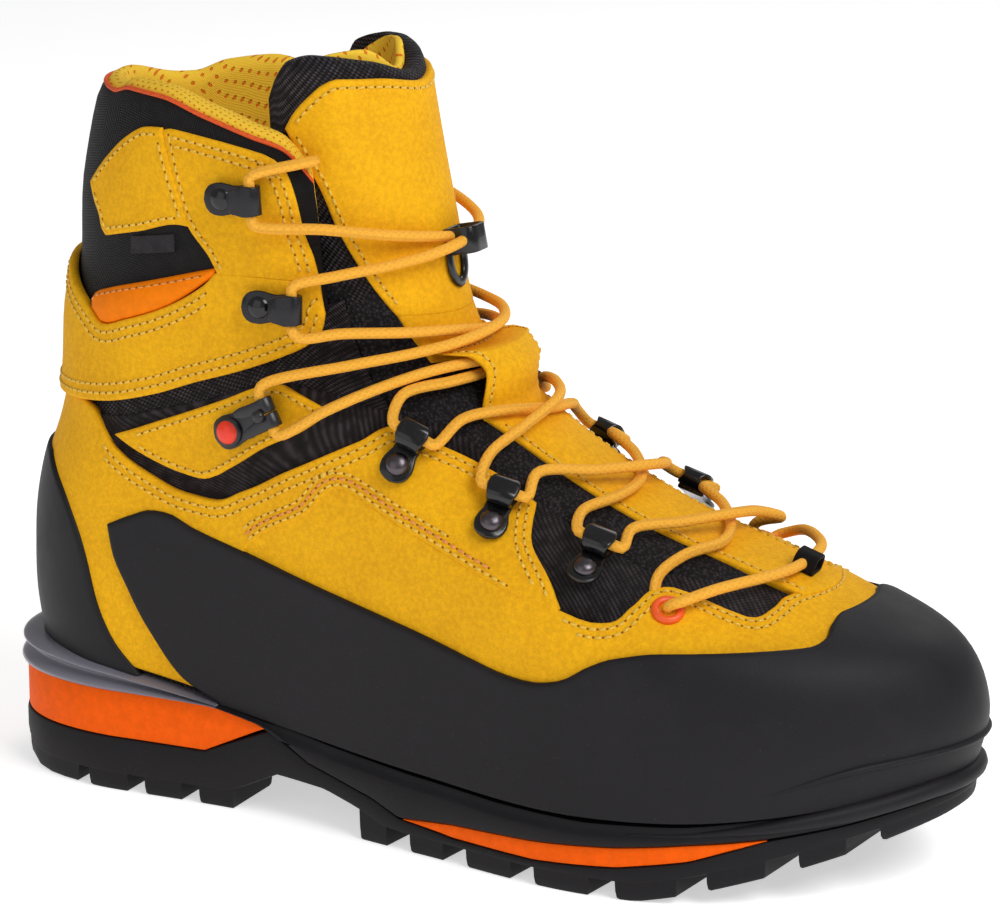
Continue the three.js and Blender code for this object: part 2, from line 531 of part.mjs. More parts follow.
// ---------- lace ----------
// A curve whose steps follow its own points, so that they are close together where the lace turns.
class Route extends THREE.CatmullRomCurve3 {
  getPointAt(t, target) {
    return this.getPoint(t, target);
  }

  getTangentAt(t, target) {
    return this.getTangent(t, target);
  }
}

function tube(points) {
  const path = new Route(points, false, 'centripetal');
  const section = new THREE.Shape();
  section.absarc(0, 0, LACE_R, 0, 2 * Math.PI, false);
  const steps = LACE_STEPS * (points.length - 1);
  return new THREE.ExtrudeGeometry(section, { steps, extrudePath: path, bevelEnabled: false, curveSegments: 4 });
}

// A place on the lace in a clip's channel: across runs from below the clip (-1) to above it (+1), and
// past is how far beyond its side the place lies; out moves it off towards the middle of the boot.
function channel(name, across, past = 0, out = 0) {
  const flip = name.endsWith('medial') ? -1 : 1;
  const reach = name.startsWith('lock') ? LOCK_REACH : CLIP_REACH;
  const x = reach - (name.startsWith('pulley') ? 1.5 : 0.4);
  const y = flip * across * (CLIP_WIDTH / 2 + past);
  return new THREE.Vector3(x + out, y, CLIP_BEND).applyMatrix4(clipFrames[name]);
}
const through = (name) => [channel(name, -1, 2.6, 0.2), channel(name, -1, 0.2), channel(name, 1, 0),
  channel(name, 1, 2.4, 0.3)];

// Places over the front of the boot between two clips, at [u, v] on the skin. The lace stands off by
// SIDE_LIFT, changing to lift where it crosses the middle line.
const SIDE_LIFT = 5.6;
const bridge = (places, lift, flip) => places.map(([u, v]) => at(flip(u), v,
  SIDE_LIFT + (lift - SIDE_LIFT) * Math.exp(-(((u - 1) / 0.13) ** 2))));

const [eyeU, eyeV] = GROMMET;
const overToe = [at(eyeU, eyeV, 2), at(eyeU, eyeV, 5), at(eyeU, eyeV, 8), at(0.8, 0.352, 9.6), at(0.9, 0.375, 7.6),
  at(0.96, 0.384, 6.3), at(1.04, 0.384, 6.3), at(1.1, 0.375, 7.6), at(1.2, 0.352, 9.6), at(2 - eyeU, eyeV, 8),
  at(2 - eyeU, eyeV, 5), at(2 - eyeU, eyeV, 2)];
add('lace_toe', 'lace', tube(overToe));

// Two strands cross between the rows. Each starts under the throat's edge. The lists say how far it
// stands off the skin at the four crossings on the foot, and the last two numbers at the ankle and in
// the tongue's keeper. The fourth crossing runs under the tongue's loop.
const strands = [
  ['lateral', 'medial', (u) => u, [[0.775, 0.415, 1.2], [0.83, 0.427, 4]], [4.6, 9.8, 9.8, 5.9], 10.4, 3.5],
  ['medial', 'lateral', (u) => 2 - u, [[0.835, 0.368, 1.2], [0.87, 0.39, 6]], [9.8, 4.6, 4.6, 1.2], 4.4, 8.4],
];
for (const [near, far, flip, start, lifts, ankle, keep] of strands) {
  add(`lace_foot_${near}`, 'lace', tube([
    ...start.map(([u, v, lift]) => at(flip(u), v, lift)),
    ...bridge([[0.92, 0.44], [1, 0.456], [1.1, 0.468], [1.17, 0.47]], lifts[0], flip),
    ...through(`pulley_3_${far}`),
    ...bridge([[1.19, 0.506], [1.1, 0.526], [1, 0.54], [0.9, 0.554], [0.82, 0.563]], lifts[1], flip),
    ...through(`pulley_2_${near}`),
    ...bridge([[0.785, 0.592], [0.88, 0.624], [1, 0.642], [1.12, 0.652], [1.2, 0.644]], lifts[2], flip),
    ...through(`pulley_1_${far}`),
    ...bridge([[1.255, 0.682], [1.16, 0.7], [1.08, 0.709], [1, 0.716], [0.9, 0.723], [0.8, 0.714], [0.7, 0.686],
      [0.63, 0.658]],
      lifts[3], flip),
    ...through(`lock_${near}`),
  ]));
  add(`lace_ankle_${near}`, 'lace', tube([
    channel(`lock_${near}`, 1, 3.4, 4),
    ...bridge([[0.7, 0.728], [0.8, 0.745], [0.9, 0.756], [1, 0.766], [1.1, 0.775], [1.2, 0.777], [1.3, 0.775]],
      ankle, flip),
    channel(`hook_1_${far}`, -1, 3.4, 4),
  ]));
  add(`lace_cuff_${near}`, 'lace', tube([
    ...through(`hook_1_${far}`),
    ...bridge([[1.29, 0.852], [1.2, 0.866], [1.1, 0.878], [1, 0.889], [0.9, 0.896], [0.8, 0.902], [0.7, 0.908]],
      keep, flip),
    ...through(`hook_2_${near}`),
    at(flip(0.665), 0.985, 4),
    at(flip(0.7), 0.99, 1.2),
  ]));
}

boot.updateMatrixWorld(true);
const box = new THREE.Box3().setFromObject(boot, true);
const middle = box.getCenter(new THREE.Vector3());
boot.position.set(-middle.x, -middle.y, -box.min.z);

export default boot;
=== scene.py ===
"""Looks of a lace-up mountaineering boot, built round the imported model.

Shapes are worked out in the maker's millimetres (heel near x = 0, ground at z = 0) on the surface of
the last, and moved into the model's metres when a mesh is made. +X runs to the toe, +Y to the inner
side of the foot and +Z up.
"""
import logging
import math
from dataclasses import dataclass, field
from enum import Enum
from functools import partial
from typing import Callable, Optional, Sequence, Union

import bmesh
import bpy
import numpy as np
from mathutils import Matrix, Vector


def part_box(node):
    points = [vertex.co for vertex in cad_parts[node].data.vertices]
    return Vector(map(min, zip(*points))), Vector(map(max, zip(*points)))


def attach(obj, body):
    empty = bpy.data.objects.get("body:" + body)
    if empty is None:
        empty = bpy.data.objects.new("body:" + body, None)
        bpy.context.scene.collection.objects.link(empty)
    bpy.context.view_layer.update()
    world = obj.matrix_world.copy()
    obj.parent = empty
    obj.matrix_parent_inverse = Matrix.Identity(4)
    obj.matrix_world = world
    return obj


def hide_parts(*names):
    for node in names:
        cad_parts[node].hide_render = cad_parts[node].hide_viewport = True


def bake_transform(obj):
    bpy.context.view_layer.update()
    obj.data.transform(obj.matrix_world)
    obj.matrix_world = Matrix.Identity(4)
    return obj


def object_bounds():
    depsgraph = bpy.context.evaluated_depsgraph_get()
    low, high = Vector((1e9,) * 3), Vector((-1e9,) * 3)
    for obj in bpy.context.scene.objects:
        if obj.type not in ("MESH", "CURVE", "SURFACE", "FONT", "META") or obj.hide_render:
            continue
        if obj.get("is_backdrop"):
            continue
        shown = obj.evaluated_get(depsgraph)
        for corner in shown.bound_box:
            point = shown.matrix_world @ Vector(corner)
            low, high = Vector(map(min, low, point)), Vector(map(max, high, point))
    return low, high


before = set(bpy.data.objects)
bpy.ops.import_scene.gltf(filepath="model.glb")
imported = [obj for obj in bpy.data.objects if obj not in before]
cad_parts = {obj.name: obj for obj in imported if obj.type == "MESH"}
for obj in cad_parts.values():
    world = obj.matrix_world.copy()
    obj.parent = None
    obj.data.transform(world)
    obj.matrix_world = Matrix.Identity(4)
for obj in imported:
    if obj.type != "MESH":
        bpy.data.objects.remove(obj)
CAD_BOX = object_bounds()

LOG = logging.getLogger("boot")
Array = np.ndarray
Pair = tuple[float, float]
Colour = tuple[float, float, float]
Table = Sequence
Values = Union[float, Array]

SHANK_MIDDLE = (115.0, 0.0)
_LOW, _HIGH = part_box("shank")
SHIFT = np.array([(_LOW.x + _HIGH.x) * 500 - SHANK_MIDDLE[0], (_LOW.y + _HIGH.y) * 500 - SHANK_MIDDLE[1],
                  0.0])


class Side(Enum):
    """The two sides of the boot."""

    LATERAL = "lateral"
    MEDIAL = "medial"

    def turn(self, u: Values) -> Values:
        """Carries a place on the lateral side to this side."""
        return u if self is Side.LATERAL else 2.0 - u


class Body(Enum):
    """The bodies that pieces ride on."""

    FOOT = "foot"
    CUFF = "cuff"
    TIP = "tongue_tip"
    FOOTBED = "footbed"


# ---------------------------------------------------------------- numbers
def to_frame(points: Array) -> Array:
    """Moves points from the maker's millimetres to the model's metres."""
    return (np.asarray(points, float) + SHIFT) / 1000.0


def span(knots: Array, x: Array) -> Array:
    """The number of the knot below each place, short of the last knot."""
    return np.clip(np.searchsorted(knots, x, side="right") - 1, 0, len(knots) - 2)


def cubic(s: Array, h: Array, ends: tuple[Array, Array], slopes: tuple[Array, Array]) -> Array:
    """A cubic read at share s of a step h long, from the values and the slopes at the step's ends."""
    rise = 3 * s**2 - 2 * s**3
    bend = h * ((s**3 - 2 * s**2 + s) * slopes[0] + (s**3 - s**2) * slopes[1])
    return (1 - rise) * ends[0] + rise * ends[1] + bend


def spline(knots: Sequence[float], values: Array, x: Values) -> Array:
    """A cubic through the values; each knot's slope is the knot-spaced mean of the slopes beside it.

    Args:
        knots: rising places, n of them.
        values: n values, or n rows of values.
        x: places to read, of any shape.

    Returns:
        The values at x, with the rows' own shape added at the end.
    """
    k, p, x = np.asarray(knots, float), np.asarray(values, float), np.asarray(x, float)
    tail = (1,) * (p.ndim - 1)
    slope = np.diff(p, axis=0) / np.diff(k).reshape((-1,) + tail)
    tangent = np.empty_like(p)
    tangent[0], tangent[-1] = slope[0], slope[-1]
    weight = (np.diff(k)[1:] / (k[2:] - k[:-2])).reshape((-1,) + tail)
    tangent[1:-1] = slope[:-1] * weight + slope[1:] * (1 - weight)
    i = span(k, x)
    h = (k[i + 1] - k[i]).reshape(x.shape + tail)
    s = np.clip((x - k[i]).reshape(x.shape + tail) / h, 0, 1)
    return cubic(s, h, (p[i], p[i + 1]), (tangent[i], tangent[i + 1]))


def gentle(knots: Sequence[float], values: Array, x: Values) -> Array:
    """A cubic through the values that never overshoots: a knot's slope is the harmonic mean of its
    neighbours' slopes, and level where they differ in sign."""
    k, p, x = np.asarray(knots, float), np.asarray(values, float), np.asarray(x, float)
    step = np.diff(k)
    slope = np.diff(p) / step
    tangent = np.zeros_like(p)
    tangent[0], tangent[-1] = slope[0], slope[-1]
    same = slope[:-1] * slope[1:] > 0
    total = np.where(same, slope[:-1] + slope[1:], 1.0)
    tangent[1:-1] = np.where(same, 2 * slope[:-1] * slope[1:] / total, 0.0)
    i = span(k, x)
    s = np.clip((x - k[i]) / step[i], 0, 1)
    return cubic(s, step[i], (p[i], p[i + 1]), (tangent[i], tangent[i + 1]))


def ease(low: float, high: float, x: Values) -> Array:
    """Rises smoothly from 0 at low to 1 at high."""
    s = np.clip((np.asarray(x, float) - low) / (high - low), 0, 1)
    return s * s * (3 - 2 * s)


def unit(vectors: Array) -> Array:
    """Vectors made one long."""
    return vectors / np.maximum(np.linalg.norm(vectors, axis=-1, keepdims=True), 1e-9)


def along(points: Array) -> Array:
    """The distance from the first point to each point of a path, in any number of dimensions."""
    return np.concatenate([[0.0], np.cumsum(np.linalg.norm(np.diff(points, axis=0), axis=1))])


def ring_run(points: Array) -> Array:
    """Directions along a closed path."""
    return unit(np.roll(points, -1, 0) - np.roll(points, 1, 0))


def even(points: Array, count: int) -> Array:
    """A path read at evenly spaced places."""
    reach = along(points)
    wanted = np.linspace(0, reach[-1], count)
    return np.stack([np.interp(wanted, reach, column) for column in points.T], 1)


# ---------------------------------------------------------------- the last
@dataclass(frozen=True)
class Last:
    """The skin of the upper: a stack of tilted rings.

    u runs from 0 at the heel to 1 at the toe on the lateral side and on to 2 on the medial side; v runs
    from 0 at the feather line to 1 at the collar. Each level has a back point and a front point in the
    middle plane and half widths from heel to toe, rounded off by a quarter circle at both ends.
    """

    levels: Table = tuple(k / 10 for k in range(13))
    back: Table = (
        (4, 42), (2, 56), (2, 70), (3, 84), (6, 98), (11, 112), (14, 126), (15, 144), (17, 165), (20, 188),
        (25, 211), (30, 230), (35, 250))
    front: Table = (
        (300, 38), (303, 52), (296, 66), (275, 76), (247, 86), (212, 98), (180, 115), (156, 134),
        (144, 154), (139, 178), (134, 202), (130, 224), (127, 246))
    stations: Table = (0, 0.12, 0.3, 0.5, 0.7, 0.88, 1)
    sag: Table = (0, -2, -10, -15, -16, -11, -4)
    toe_turn: Table = (0, 0, 0, -1, -1, 4, 7)
    width_levels: Table = (0, 0.25, 0.5, 0.75, 1, 1.2)
    lateral: Table = (
        (33, 34, 35, 45, 55, 50, 40), (35, 36, 37, 43, 50, 45, 38), (34, 36, 37, 40, 42, 40, 36),
        (33, 35, 37, 38, 38, 36, 34), (35, 36, 37, 38, 38, 36, 34), (35, 37, 38, 38, 38, 36, 34))
    medial: Table = (
        (33, 34, 33, 36, 46, 48, 42), (35, 36, 36, 38, 44, 44, 40), (34, 36, 37, 40, 42, 40, 38),
        (33, 35, 37, 38, 38, 36, 34), (35, 36, 37, 38, 38, 36, 34), (35, 37, 38, 38, 38, 36, 34))
    heel_round: Table = (40, 42, 42, 44, 48, 50)
    toe_round: Table = (70, 70, 64, 52, 48, 46)

    def half_width(self, table: Array, v: Array, t: Array) -> Array:
        """A half width: the table read at level v and station t."""
        columns = spline(self.width_levels, table, v)
        k = np.array(self.stations)
        slope = np.diff(columns, axis=-1) / np.diff(k)
        tangent = np.empty_like(columns)
        tangent[..., 0], tangent[..., -1] = slope[..., 0], slope[..., -1]
        weight = np.diff(k)[1:] / (k[2:] - k[:-2])
        tangent[..., 1:-1] = slope[..., :-1] * weight + slope[..., 1:] * (1 - weight)
        i = span(k, t)

        def ends(rows: Array) -> tuple[Array, Array]:
            """The entries of each row at both ends of its own step."""
            low, high = (np.take_along_axis(rows, j[..., None], -1)[..., 0] for j in (i, i + 1))
            return low, high

        h = k[i + 1] - k[i]
        return cubic((t - k[i]) / h, h, ends(columns), ends(tangent))

    def skin(self, u: Values, v: Values) -> Array:
        """Points of the skin, in millimetres."""
        u, v = np.broadcast_arrays(np.asarray(u, float) % 2, np.asarray(v, float))
        on_lateral = u <= 1
        side = np.where(on_lateral, u, 2 - u)
        t = (1 - np.cos(np.pi * side)) / 2
        back, front = spline(self.levels, self.back, v), spline(self.levels, self.front, v)
        x = back[..., 0] + (front[..., 0] - back[..., 0]) * t
        z = back[..., 1] + (front[..., 1] - back[..., 1]) * t
        z = z + spline(self.stations, self.sag, t) * np.clip(1 - v / 0.35, 0, 1) ** 2
        length = np.hypot(front[..., 0] - back[..., 0], front[..., 1] - back[..., 1])
        wide = np.where(on_lateral, self.half_width(self.lateral, v, t), self.half_width(self.medial, v, t))

        def rounded(reach: Array, radius: Array) -> Array:
            """A quarter circle from 0 at the end to 1 where the rounding stops."""
            return np.sqrt(np.clip(1 - (1 - np.clip(reach / radius, 0, 1)) ** 2, 0, 1))

        half = wide * rounded(t * length, spline(self.width_levels, self.heel_round, v))
        half = half * rounded((1 - t) * length, spline(self.width_levels, self.toe_round, v))
        middle = spline(self.stations, self.toe_turn, t) * np.clip(1 - 1.3 * v, 0, 1)
        return np.stack([x, middle + np.where(on_lateral, -half, half), z], -1)

    def normal(self, u: Values, v: Values) -> Array:
        """Outward directions: the cross product of a small step along u and one up v."""
        e = 0.002
        u, v = np.asarray(u, float), np.asarray(v, float)
        run = self.skin(u + e, v) - self.skin(u - e, v)
        rise = self.skin(u, v + e) - self.skin(u, np.maximum(v - e, 0))
        return unit(np.cross(run, rise))

    def at(self, u: Values, v: Values, lift: Values = 0.0) -> Array:
        """Points that stand off the skin by lift."""
        return self.skin(u, v) + self.normal(u, v) * np.asarray(lift, float)[..., None]

    def outline(self, u: Array, grow: Values) -> Array:
        """The sole's plan outline, in X and Y: the feather line pushed outward, most at the heel's back."""
        p, n = self.skin(u, 0 * u), self.normal(u, 0 * u)
        n = unit(n * np.array([1.0, 1.0, 0.0]))
        reach = 4.0 + 5.0 * np.exp(-(((p[..., 0] - 4) / 22) ** 2)) + grow
        return (p + n * np.asarray(reach)[..., None])[..., :2]


LAST = Last()


# ---------------------------------------------------------------- meshes
@dataclass
class Form:
    """A mesh in the making: points in millimetres, faces and a place on the cloth for each point."""

    points: Array
    faces: list[tuple[int, ...]]
    cloth: Optional[Array] = None

    def places(self) -> Array:
        """The cloth places, or zeros."""
        return np.zeros((len(self.points), 2)) if self.cloth is None else self.cloth


def join(forms: Sequence[Form]) -> Form:
    """Several forms as one."""
    starts = np.cumsum([0] + [len(f.points) for f in forms])
    faces = [tuple(int(k + s) for k in face) for f, s in zip(forms, starts) for face in f.faces]
    return Form(np.concatenate([f.points for f in forms]), faces, np.concatenate([f.places() for f in forms]))


def grid_faces(wide: int, tall: int, loop_wide: bool = False, loop_tall: bool = False, start: int = 0,
               turned: bool = False) -> Array:
    """Four-cornered faces of a grid whose point (i, j) is number i * tall + j."""
    i = np.arange(wide if loop_wide else wide - 1)[:, None]
    j = np.arange(tall if loop_tall else tall - 1)[None, :]
    i2, j2 = (i + 1) % wide, (j + 1) % tall
    corners = [i * tall + j, i2 * tall + j, i2 * tall + j2, i * tall + j2]
    faces = np.stack([np.broadcast_to(c, (i.size, j.size)) for c in corners], -1).reshape(-1, 4) + start
    return faces[:, ::-1] if turned else faces


def as_faces(*arrays: Array) -> list[tuple[int, ...]]:
    """Arrays of corners as one list of faces."""
    return [tuple(row) for a in arrays for row in np.asarray(a, int).tolist()]


def sweep(path: Array, side: Array, up: Array, section: Array, closed: bool = False) -> Form:
    """A closed section carried along a path.

    Args:
        path: n points.
        side: n directions across the path, or one.
        up: n directions, square to both, or one.
        section: m points, or n sections of m points, as distances along side and up, anticlockwise.
        closed: whether the path's end meets its start.

    Returns:
        The form, with its ends closed by fans when the path is open.
    """
    n = len(path)
    section = np.broadcast_to(section, (n,) + section.shape[-2:])
    side, up = np.broadcast_to(side, (n, 3)), np.broadcast_to(up, (n, 3))
    ring = path[:, None] + section[..., :1] * side[:, None] + section[..., 1:] * up[:, None]
    m = section.shape[1]
    faces = [grid_faces(n, m, closed, True, turned=True)]
    points = ring.reshape(-1, 3)
    around = np.broadcast_to(np.arange(m) / m, (n, m))
    reach = np.broadcast_to(along(path)[:, None] / 1000, (n, m))
    cloth = np.stack([reach, around], -1).reshape(-1, 2)
    if not closed:
        j = np.arange(m)
        start, end = np.full(m, n * m), np.full(m, n * m + 1)
        faces += [np.stack([start, (j + 1) % m, j], 1), np.stack([end, (n - 1) * m + j,
                                                                  (n - 1) * m + (j + 1) % m], 1)]
        points = np.concatenate([points, ring[:1].mean(1), ring[-1:].mean(1)])
        cloth = np.concatenate([cloth, cloth[:1], cloth[-1:]])
    return Form(points, as_faces(*faces), cloth)


def turned(profile: Sequence[Pair], sides: int = 24) -> Form:
    """A profile of [radius, height] turned about Z; it starts and ends on the axis."""
    profile = np.asarray(profile, float)
    angle = np.arange(sides) * 2 * np.pi / sides
    ring = np.stack([np.cos(angle), np.sin(angle)], 1)
    flat = profile[None, :, :1] * ring[:, None]
    height = np.broadcast_to(profile[None, :, 1:], (sides, len(profile), 1))
    return Form(np.concatenate([flat, height], -1).reshape(-1, 3),
                as_faces(grid_faces(sides, len(profile), True)))


def oval(half_side: float, half_up: float, count: int = 10) -> Array:
    """An ellipse as a section."""
    angle = np.arange(count) * 2 * np.pi / count
    return np.stack([half_side * np.cos(angle), half_up * np.sin(angle)], 1)


def rounded_bar(half_side: Array, thick: float, rim: float = 0.35) -> Array:
    """Flat sections with rounded edges, one for each half width; up runs from 0 to thick."""
    half = np.asarray(half_side, float)[:, None]
    cut = np.minimum(rim, np.maximum(half, 1e-3))
    side = np.concatenate([half - cut, half - 0.3 * cut, half, half, half - 0.3 * cut, half - cut], 1)
    side = np.concatenate([side, -side[:, ::-1]], 1)
    up = np.array([0, 0.1, 0.35, 0.65, 0.9, 1]) * thick
    up = np.broadcast_to(np.concatenate([up, up[::-1]]), side.shape)
    return np.stack([side, up], -1)


@dataclass(frozen=True)
class Bend:
    """Two bodies and the places between which a piece would bend: the first body before start, the other past
    end; nothing bends it.
    """

    first: Body
    other: Body
    start: tuple[float, float, float]
    end: tuple[float, float, float]

    def apply(self, piece: bpy.types.Object) -> None:
        """Bakes the piece's transform into its mesh; the start and end worked out here are not used, and the
        piece is neither bent nor put on a body.
        """
        start, end = (tuple(to_frame(np.array(p))) for p in (self.start, self.end))
        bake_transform(piece)


class Workshop:
    """Makes finished objects out of forms and puts them on their bodies, all but those given a Bend."""

    made: int = 0

    @classmethod
    def piece(cls, name: str, form: Form, body: Union[Body, Bend], finish: "Finish",
              replaces: Sequence[str] = (),
              crisp: Optional[float] = None, merge: float = 2e-6) -> bpy.types.Object:
        """Makes one piece.

        Args:
            name: the object's name.
            form: its points and faces.
            body: the body that it rides on, or a Bend between two, which leaves it unbent and on no body.
            finish: its finish.
            replaces: the model's nodes that it stands for.
            crisp: the angle, in degrees, past which an edge is sharp; none is when it is left out.
            merge: how close points are before they become one, in metres.

        Returns:
            The object, with its mesh in place.
        """
        mesh = bpy.data.meshes.new(name)
        mesh.from_pydata(to_frame(form.points).tolist(), [], form.faces)
        corners = np.empty(len(mesh.loops), int)
        mesh.loops.foreach_get("vertex_index", corners)
        mesh.uv_layers.new(name="cloth").data.foreach_set("uv",
                                                          form.places()[corners].astype(np.float32).ravel())
        work = bmesh.new()
        work.from_mesh(mesh)
        bmesh.ops.remove_doubles(work, verts=work.verts, dist=merge)
        bmesh.ops.dissolve_degenerate(work, edges=work.edges, dist=1e-7)
        work.to_mesh(mesh)
        work.free()
        mesh.polygons.foreach_set("use_smooth", np.ones(len(mesh.polygons), bool))
        if crisp is not None:
            mesh.set_sharp_from_angle(angle=math.radians(crisp))
        mesh.materials.append(finish.material())
        piece = bpy.data.objects.new(name, mesh)
        bpy.context.scene.collection.objects.link(piece)
        if isinstance(body, Bend):
            body.apply(piece)
        else:
            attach(piece, body.value)
        if replaces:
            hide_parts(*replaces)
        cls.made += 1
        LOG.info("%s: %d faces", name, len(mesh.polygons))
        return piece


# ---------------------------------------------------------------- panels
def places_along(length: float, step: float, rim: Sequence[float]) -> Array:
    """Fractions of a length: close together near both ends, and about one step apart between them."""
    rim = [r for r in rim if r < length / 3]
    inner = np.linspace(rim[-1] if rim else 0, length - (rim[-1] if rim else 0),
                        max(2, int(length / step)) + 1)
    found = np.concatenate([rim[:-1], inner, length - np.array(rim[:-1])]) if rim else inner
    return np.unique(np.round(found / max(length, 1e-6), 6))


@dataclass
class Patch:
    """A panel of the upper: a closed body between two stand-offs from the skin, with rolled edges.

    Its edges are lists of [u, v] places. Without left and right edges, each column runs straight up
    from the bottom edge to the top edge at one u. With them the grid is a blend of the four edges: the
    straight mixes across and up, less the mix of the four corners.
    """

    bottom: Sequence[Pair]
    top: Sequence[Pair]
    inner: float
    outer: float
    left: Optional[Sequence[Pair]] = None
    right: Optional[Sequence[Pair]] = None
    rolled: str = "bottom top left right"
    roll: float = 0.9
    puff: float = 0.0
    puff_width: float = 5.0
    step: float = 3.0
    loop: bool = False
    extra: Optional[Callable[[Array, Array], Array]] = None
    span: float = 300.0
    rise: float = 180.0

    def __post_init__(self) -> None:
        """Works out the grid of places and every place's distance from each edge."""
        rim = [0, 0.12 * self.roll, 0.4 * self.roll, self.roll, 2.2 * self.roll]
        bottom, top = np.array(self.bottom, float), np.array(self.top, float)
        if self.left is None:
            low, high = bottom[0, 0], bottom[-1, 0]
            if self.loop:
                count = int((high - low) * self.span / self.step)
                u = low + np.arange(count) / count * (high - low)
            else:
                u = low + places_along((high - low) * self.span, self.step, rim) * (high - low)
            floor, roof = gentle(*bottom.T, u), gentle(*top.T, u)
            tall = float(np.median(np.abs(roof - floor))) * self.rise
            t = places_along(max(tall, 1.0), self.step, rim)
            self.u = np.broadcast_to(u[:, None], (len(u), len(t)))
            self.v = floor[:, None] + (roof - floor)[:, None] * t
        else:
            left, right = np.array(self.left, float), np.array(self.right, float)
            self.u, self.v = self._blend(bottom, top, left, right, rim)
        self._measure()

    def _edge(self, edge: Array, s: Array) -> Array:
        """An edge read at fractions of its length, as a cubic that doesn't overshoot."""
        reach = along(edge * np.array([self.span, self.rise]))
        keep = np.concatenate([[True], np.diff(reach) > 1e-6])
        reach, edge = reach[keep], edge[keep]
        if len(edge) < 2:
            return np.broadcast_to(edge[0], (len(s), 2))
        return np.stack([gentle(reach / reach[-1], column, s) for column in edge.T], 1)

    def _blend(self, bottom: Array, top: Array, left: Array, right: Array,
               rim: Sequence[float]) -> tuple[Array, Array]:
        """The blend of four edges, at fractions s across and t up."""
        scale = np.array([self.span, self.rise])
        wide = (along(bottom * scale)[-1] + along(top * scale)[-1]) / 2
        tall = (along(left * scale)[-1] + along(right * scale)[-1]) / 2
        s, t = places_along(wide, self.step, rim), places_along(max(tall, 1.0), self.step, rim)
        b, c = self._edge(bottom, s)[:, None], self._edge(top, s)[:, None]
        a, d = self._edge(left, t)[None], self._edge(right, t)[None]
        s, t = s[:, None, None], t[None, :, None]
        corners = (1 - s) * ((1 - t) * b[:1] + t * c[:1]) + s * ((1 - t) * b[-1:] + t * c[-1:])
        grid = (1 - t) * b + t * c + (1 - s) * a + s * d - corners
        return grid[..., 0], grid[..., 1]

    def _measure(self) -> None:
        """Distances from each edge over the surface, in millimetres, and the lift of the outer face."""
        base = LAST.skin(self.u, self.v)
        run, climb = np.linalg.norm(np.diff(base, axis=0),
                                    axis=-1), np.linalg.norm(np.diff(base, axis=1), axis=-1)
        east = np.concatenate([np.zeros((1, run.shape[1])), np.cumsum(run, 0)])
        north = np.concatenate([np.zeros((climb.shape[0], 1)), np.cumsum(climb, 1)], 1)

        points = base.reshape(-1, 1, 3)

        def from_edge(edge: Array) -> Array:
            """How far every point is from the nearest piece of an edge."""
            step = np.diff(edge, axis=0)
            share = ((points - edge[:-1]) * step).sum(-1) / np.maximum((step**2).sum(-1), 1e-9)
            foot = edge[:-1] + np.clip(share, 0, 1)[..., None] * step
            return np.linalg.norm(points - foot, axis=-1).min(1).reshape(self.u.shape)

        edges = {"bottom": base[:, 0], "top": base[:, -1], "left": base[0], "right": base[-1]}
        self.distance = {name: from_edge(edge) for name, edge in edges.items()}
        if self.loop:
            self.distance["left"] = self.distance["right"] = np.full_like(east, 1e3)
        self.cloth = np.stack([east - east[-1:] / 2, north], -1) / 1000
        near = np.full_like(east, 1e3)
        for name in self.rolled.split():
            near = np.minimum(near, self.distance[name])
        inside = np.clip(self.roll - near, 0, self.roll)
        lift = self.outer - self.roll + np.sqrt(np.maximum(self.roll**2 - inside**2, 0))
        lift = lift + self.puff * (1 - np.exp(-near / self.puff_width))
        raised = np.zeros_like(lift) if self.extra is None else self.extra(self.u, self.v)
        self.lift, self.base_lift = lift + raised, self.inner + raised

    def form(self) -> Form:
        """The closed body: outer face, inner face and the walls between their edges."""
        wide, tall = self.u.shape
        n = wide * tall
        points = np.concatenate([LAST.at(self.u, self.v, self.lift).reshape(-1, 3),
                                 LAST.at(self.u, self.v, self.base_lift).reshape(-1, 3)])
        faces = [grid_faces(wide, tall, self.loop), grid_faces(wide, tall, self.loop, start=n, turned=True)]
        number = np.arange(n).reshape(wide, tall)

        def wall(edge: Array) -> Array:
            """Faces from an edge of the outer face to the same edge of the inner face."""
            return np.stack([edge[:-1], edge[1:], edge[1:] + n, edge[:-1] + n], 1)

        ends = np.concatenate([number, number[:1]]) if self.loop else number
        faces += [wall(ends[::-1, 0]), wall(ends[:, -1])]
        if not self.loop:
            faces += [wall(number[0]), wall(number[-1, ::-1])]
        cloth = self.cloth.reshape(-1, 2)
        return Form(points, as_faces(*faces), np.concatenate([cloth, cloth]))

    def inset(self, side: str, depth: float, clear: float = -1.0) -> Array:
        """A line of [u, v, lift] places at one depth inside an edge, kept clear of the other edges."""
        d = self.distance[side]
        u, v, lift = self.u, self.v, self.lift
        others = [self.distance[k] for k in ("bottom", "top", "left", "right") if k != side]
        if side in ("left", "right"):
            d, u, v, lift, others = d.T, u.T, v.T, lift.T, [o.T for o in others]
        if side in ("top", "right"):
            d, u, v, lift = d[:, ::-1], u[:, ::-1], v[:, ::-1], lift[:, ::-1]
            others = [o[:, ::-1] for o in others]
        j = np.clip((d < depth).sum(1), 1, d.shape[1] - 1)[:, None]

        def read(values: Array) -> Array:
            """Values between the grid points on either side of the depth."""
            low, high = np.take_along_axis(d, j - 1, 1), np.take_along_axis(d, j, 1)
            w = np.clip((depth - low) / np.maximum(high - low, 1e-6), 0, 1)
            return ((1 - w) * np.take_along_axis(values, j - 1,
                                                 1) + w * np.take_along_axis(values, j, 1))[:, 0]

        line = np.stack([read(u), read(v), read(lift)], 1)
        free = np.min([read(o) for o in others], 0)
        return line[(free > clear) & (d.max(1) > depth)]


def opposite(points: Sequence[Pair]) -> list[Pair]:
    """An edge on the other side of the boot."""
    return [(2 - u, v) for u, v in points]


def mirrored(points: Optional[Sequence[Pair]]) -> Optional[list[Pair]]:
    """An edge on the other side of the boot, in the order that keeps its faces outward."""
    return None if points is None else opposite(points)[::-1]


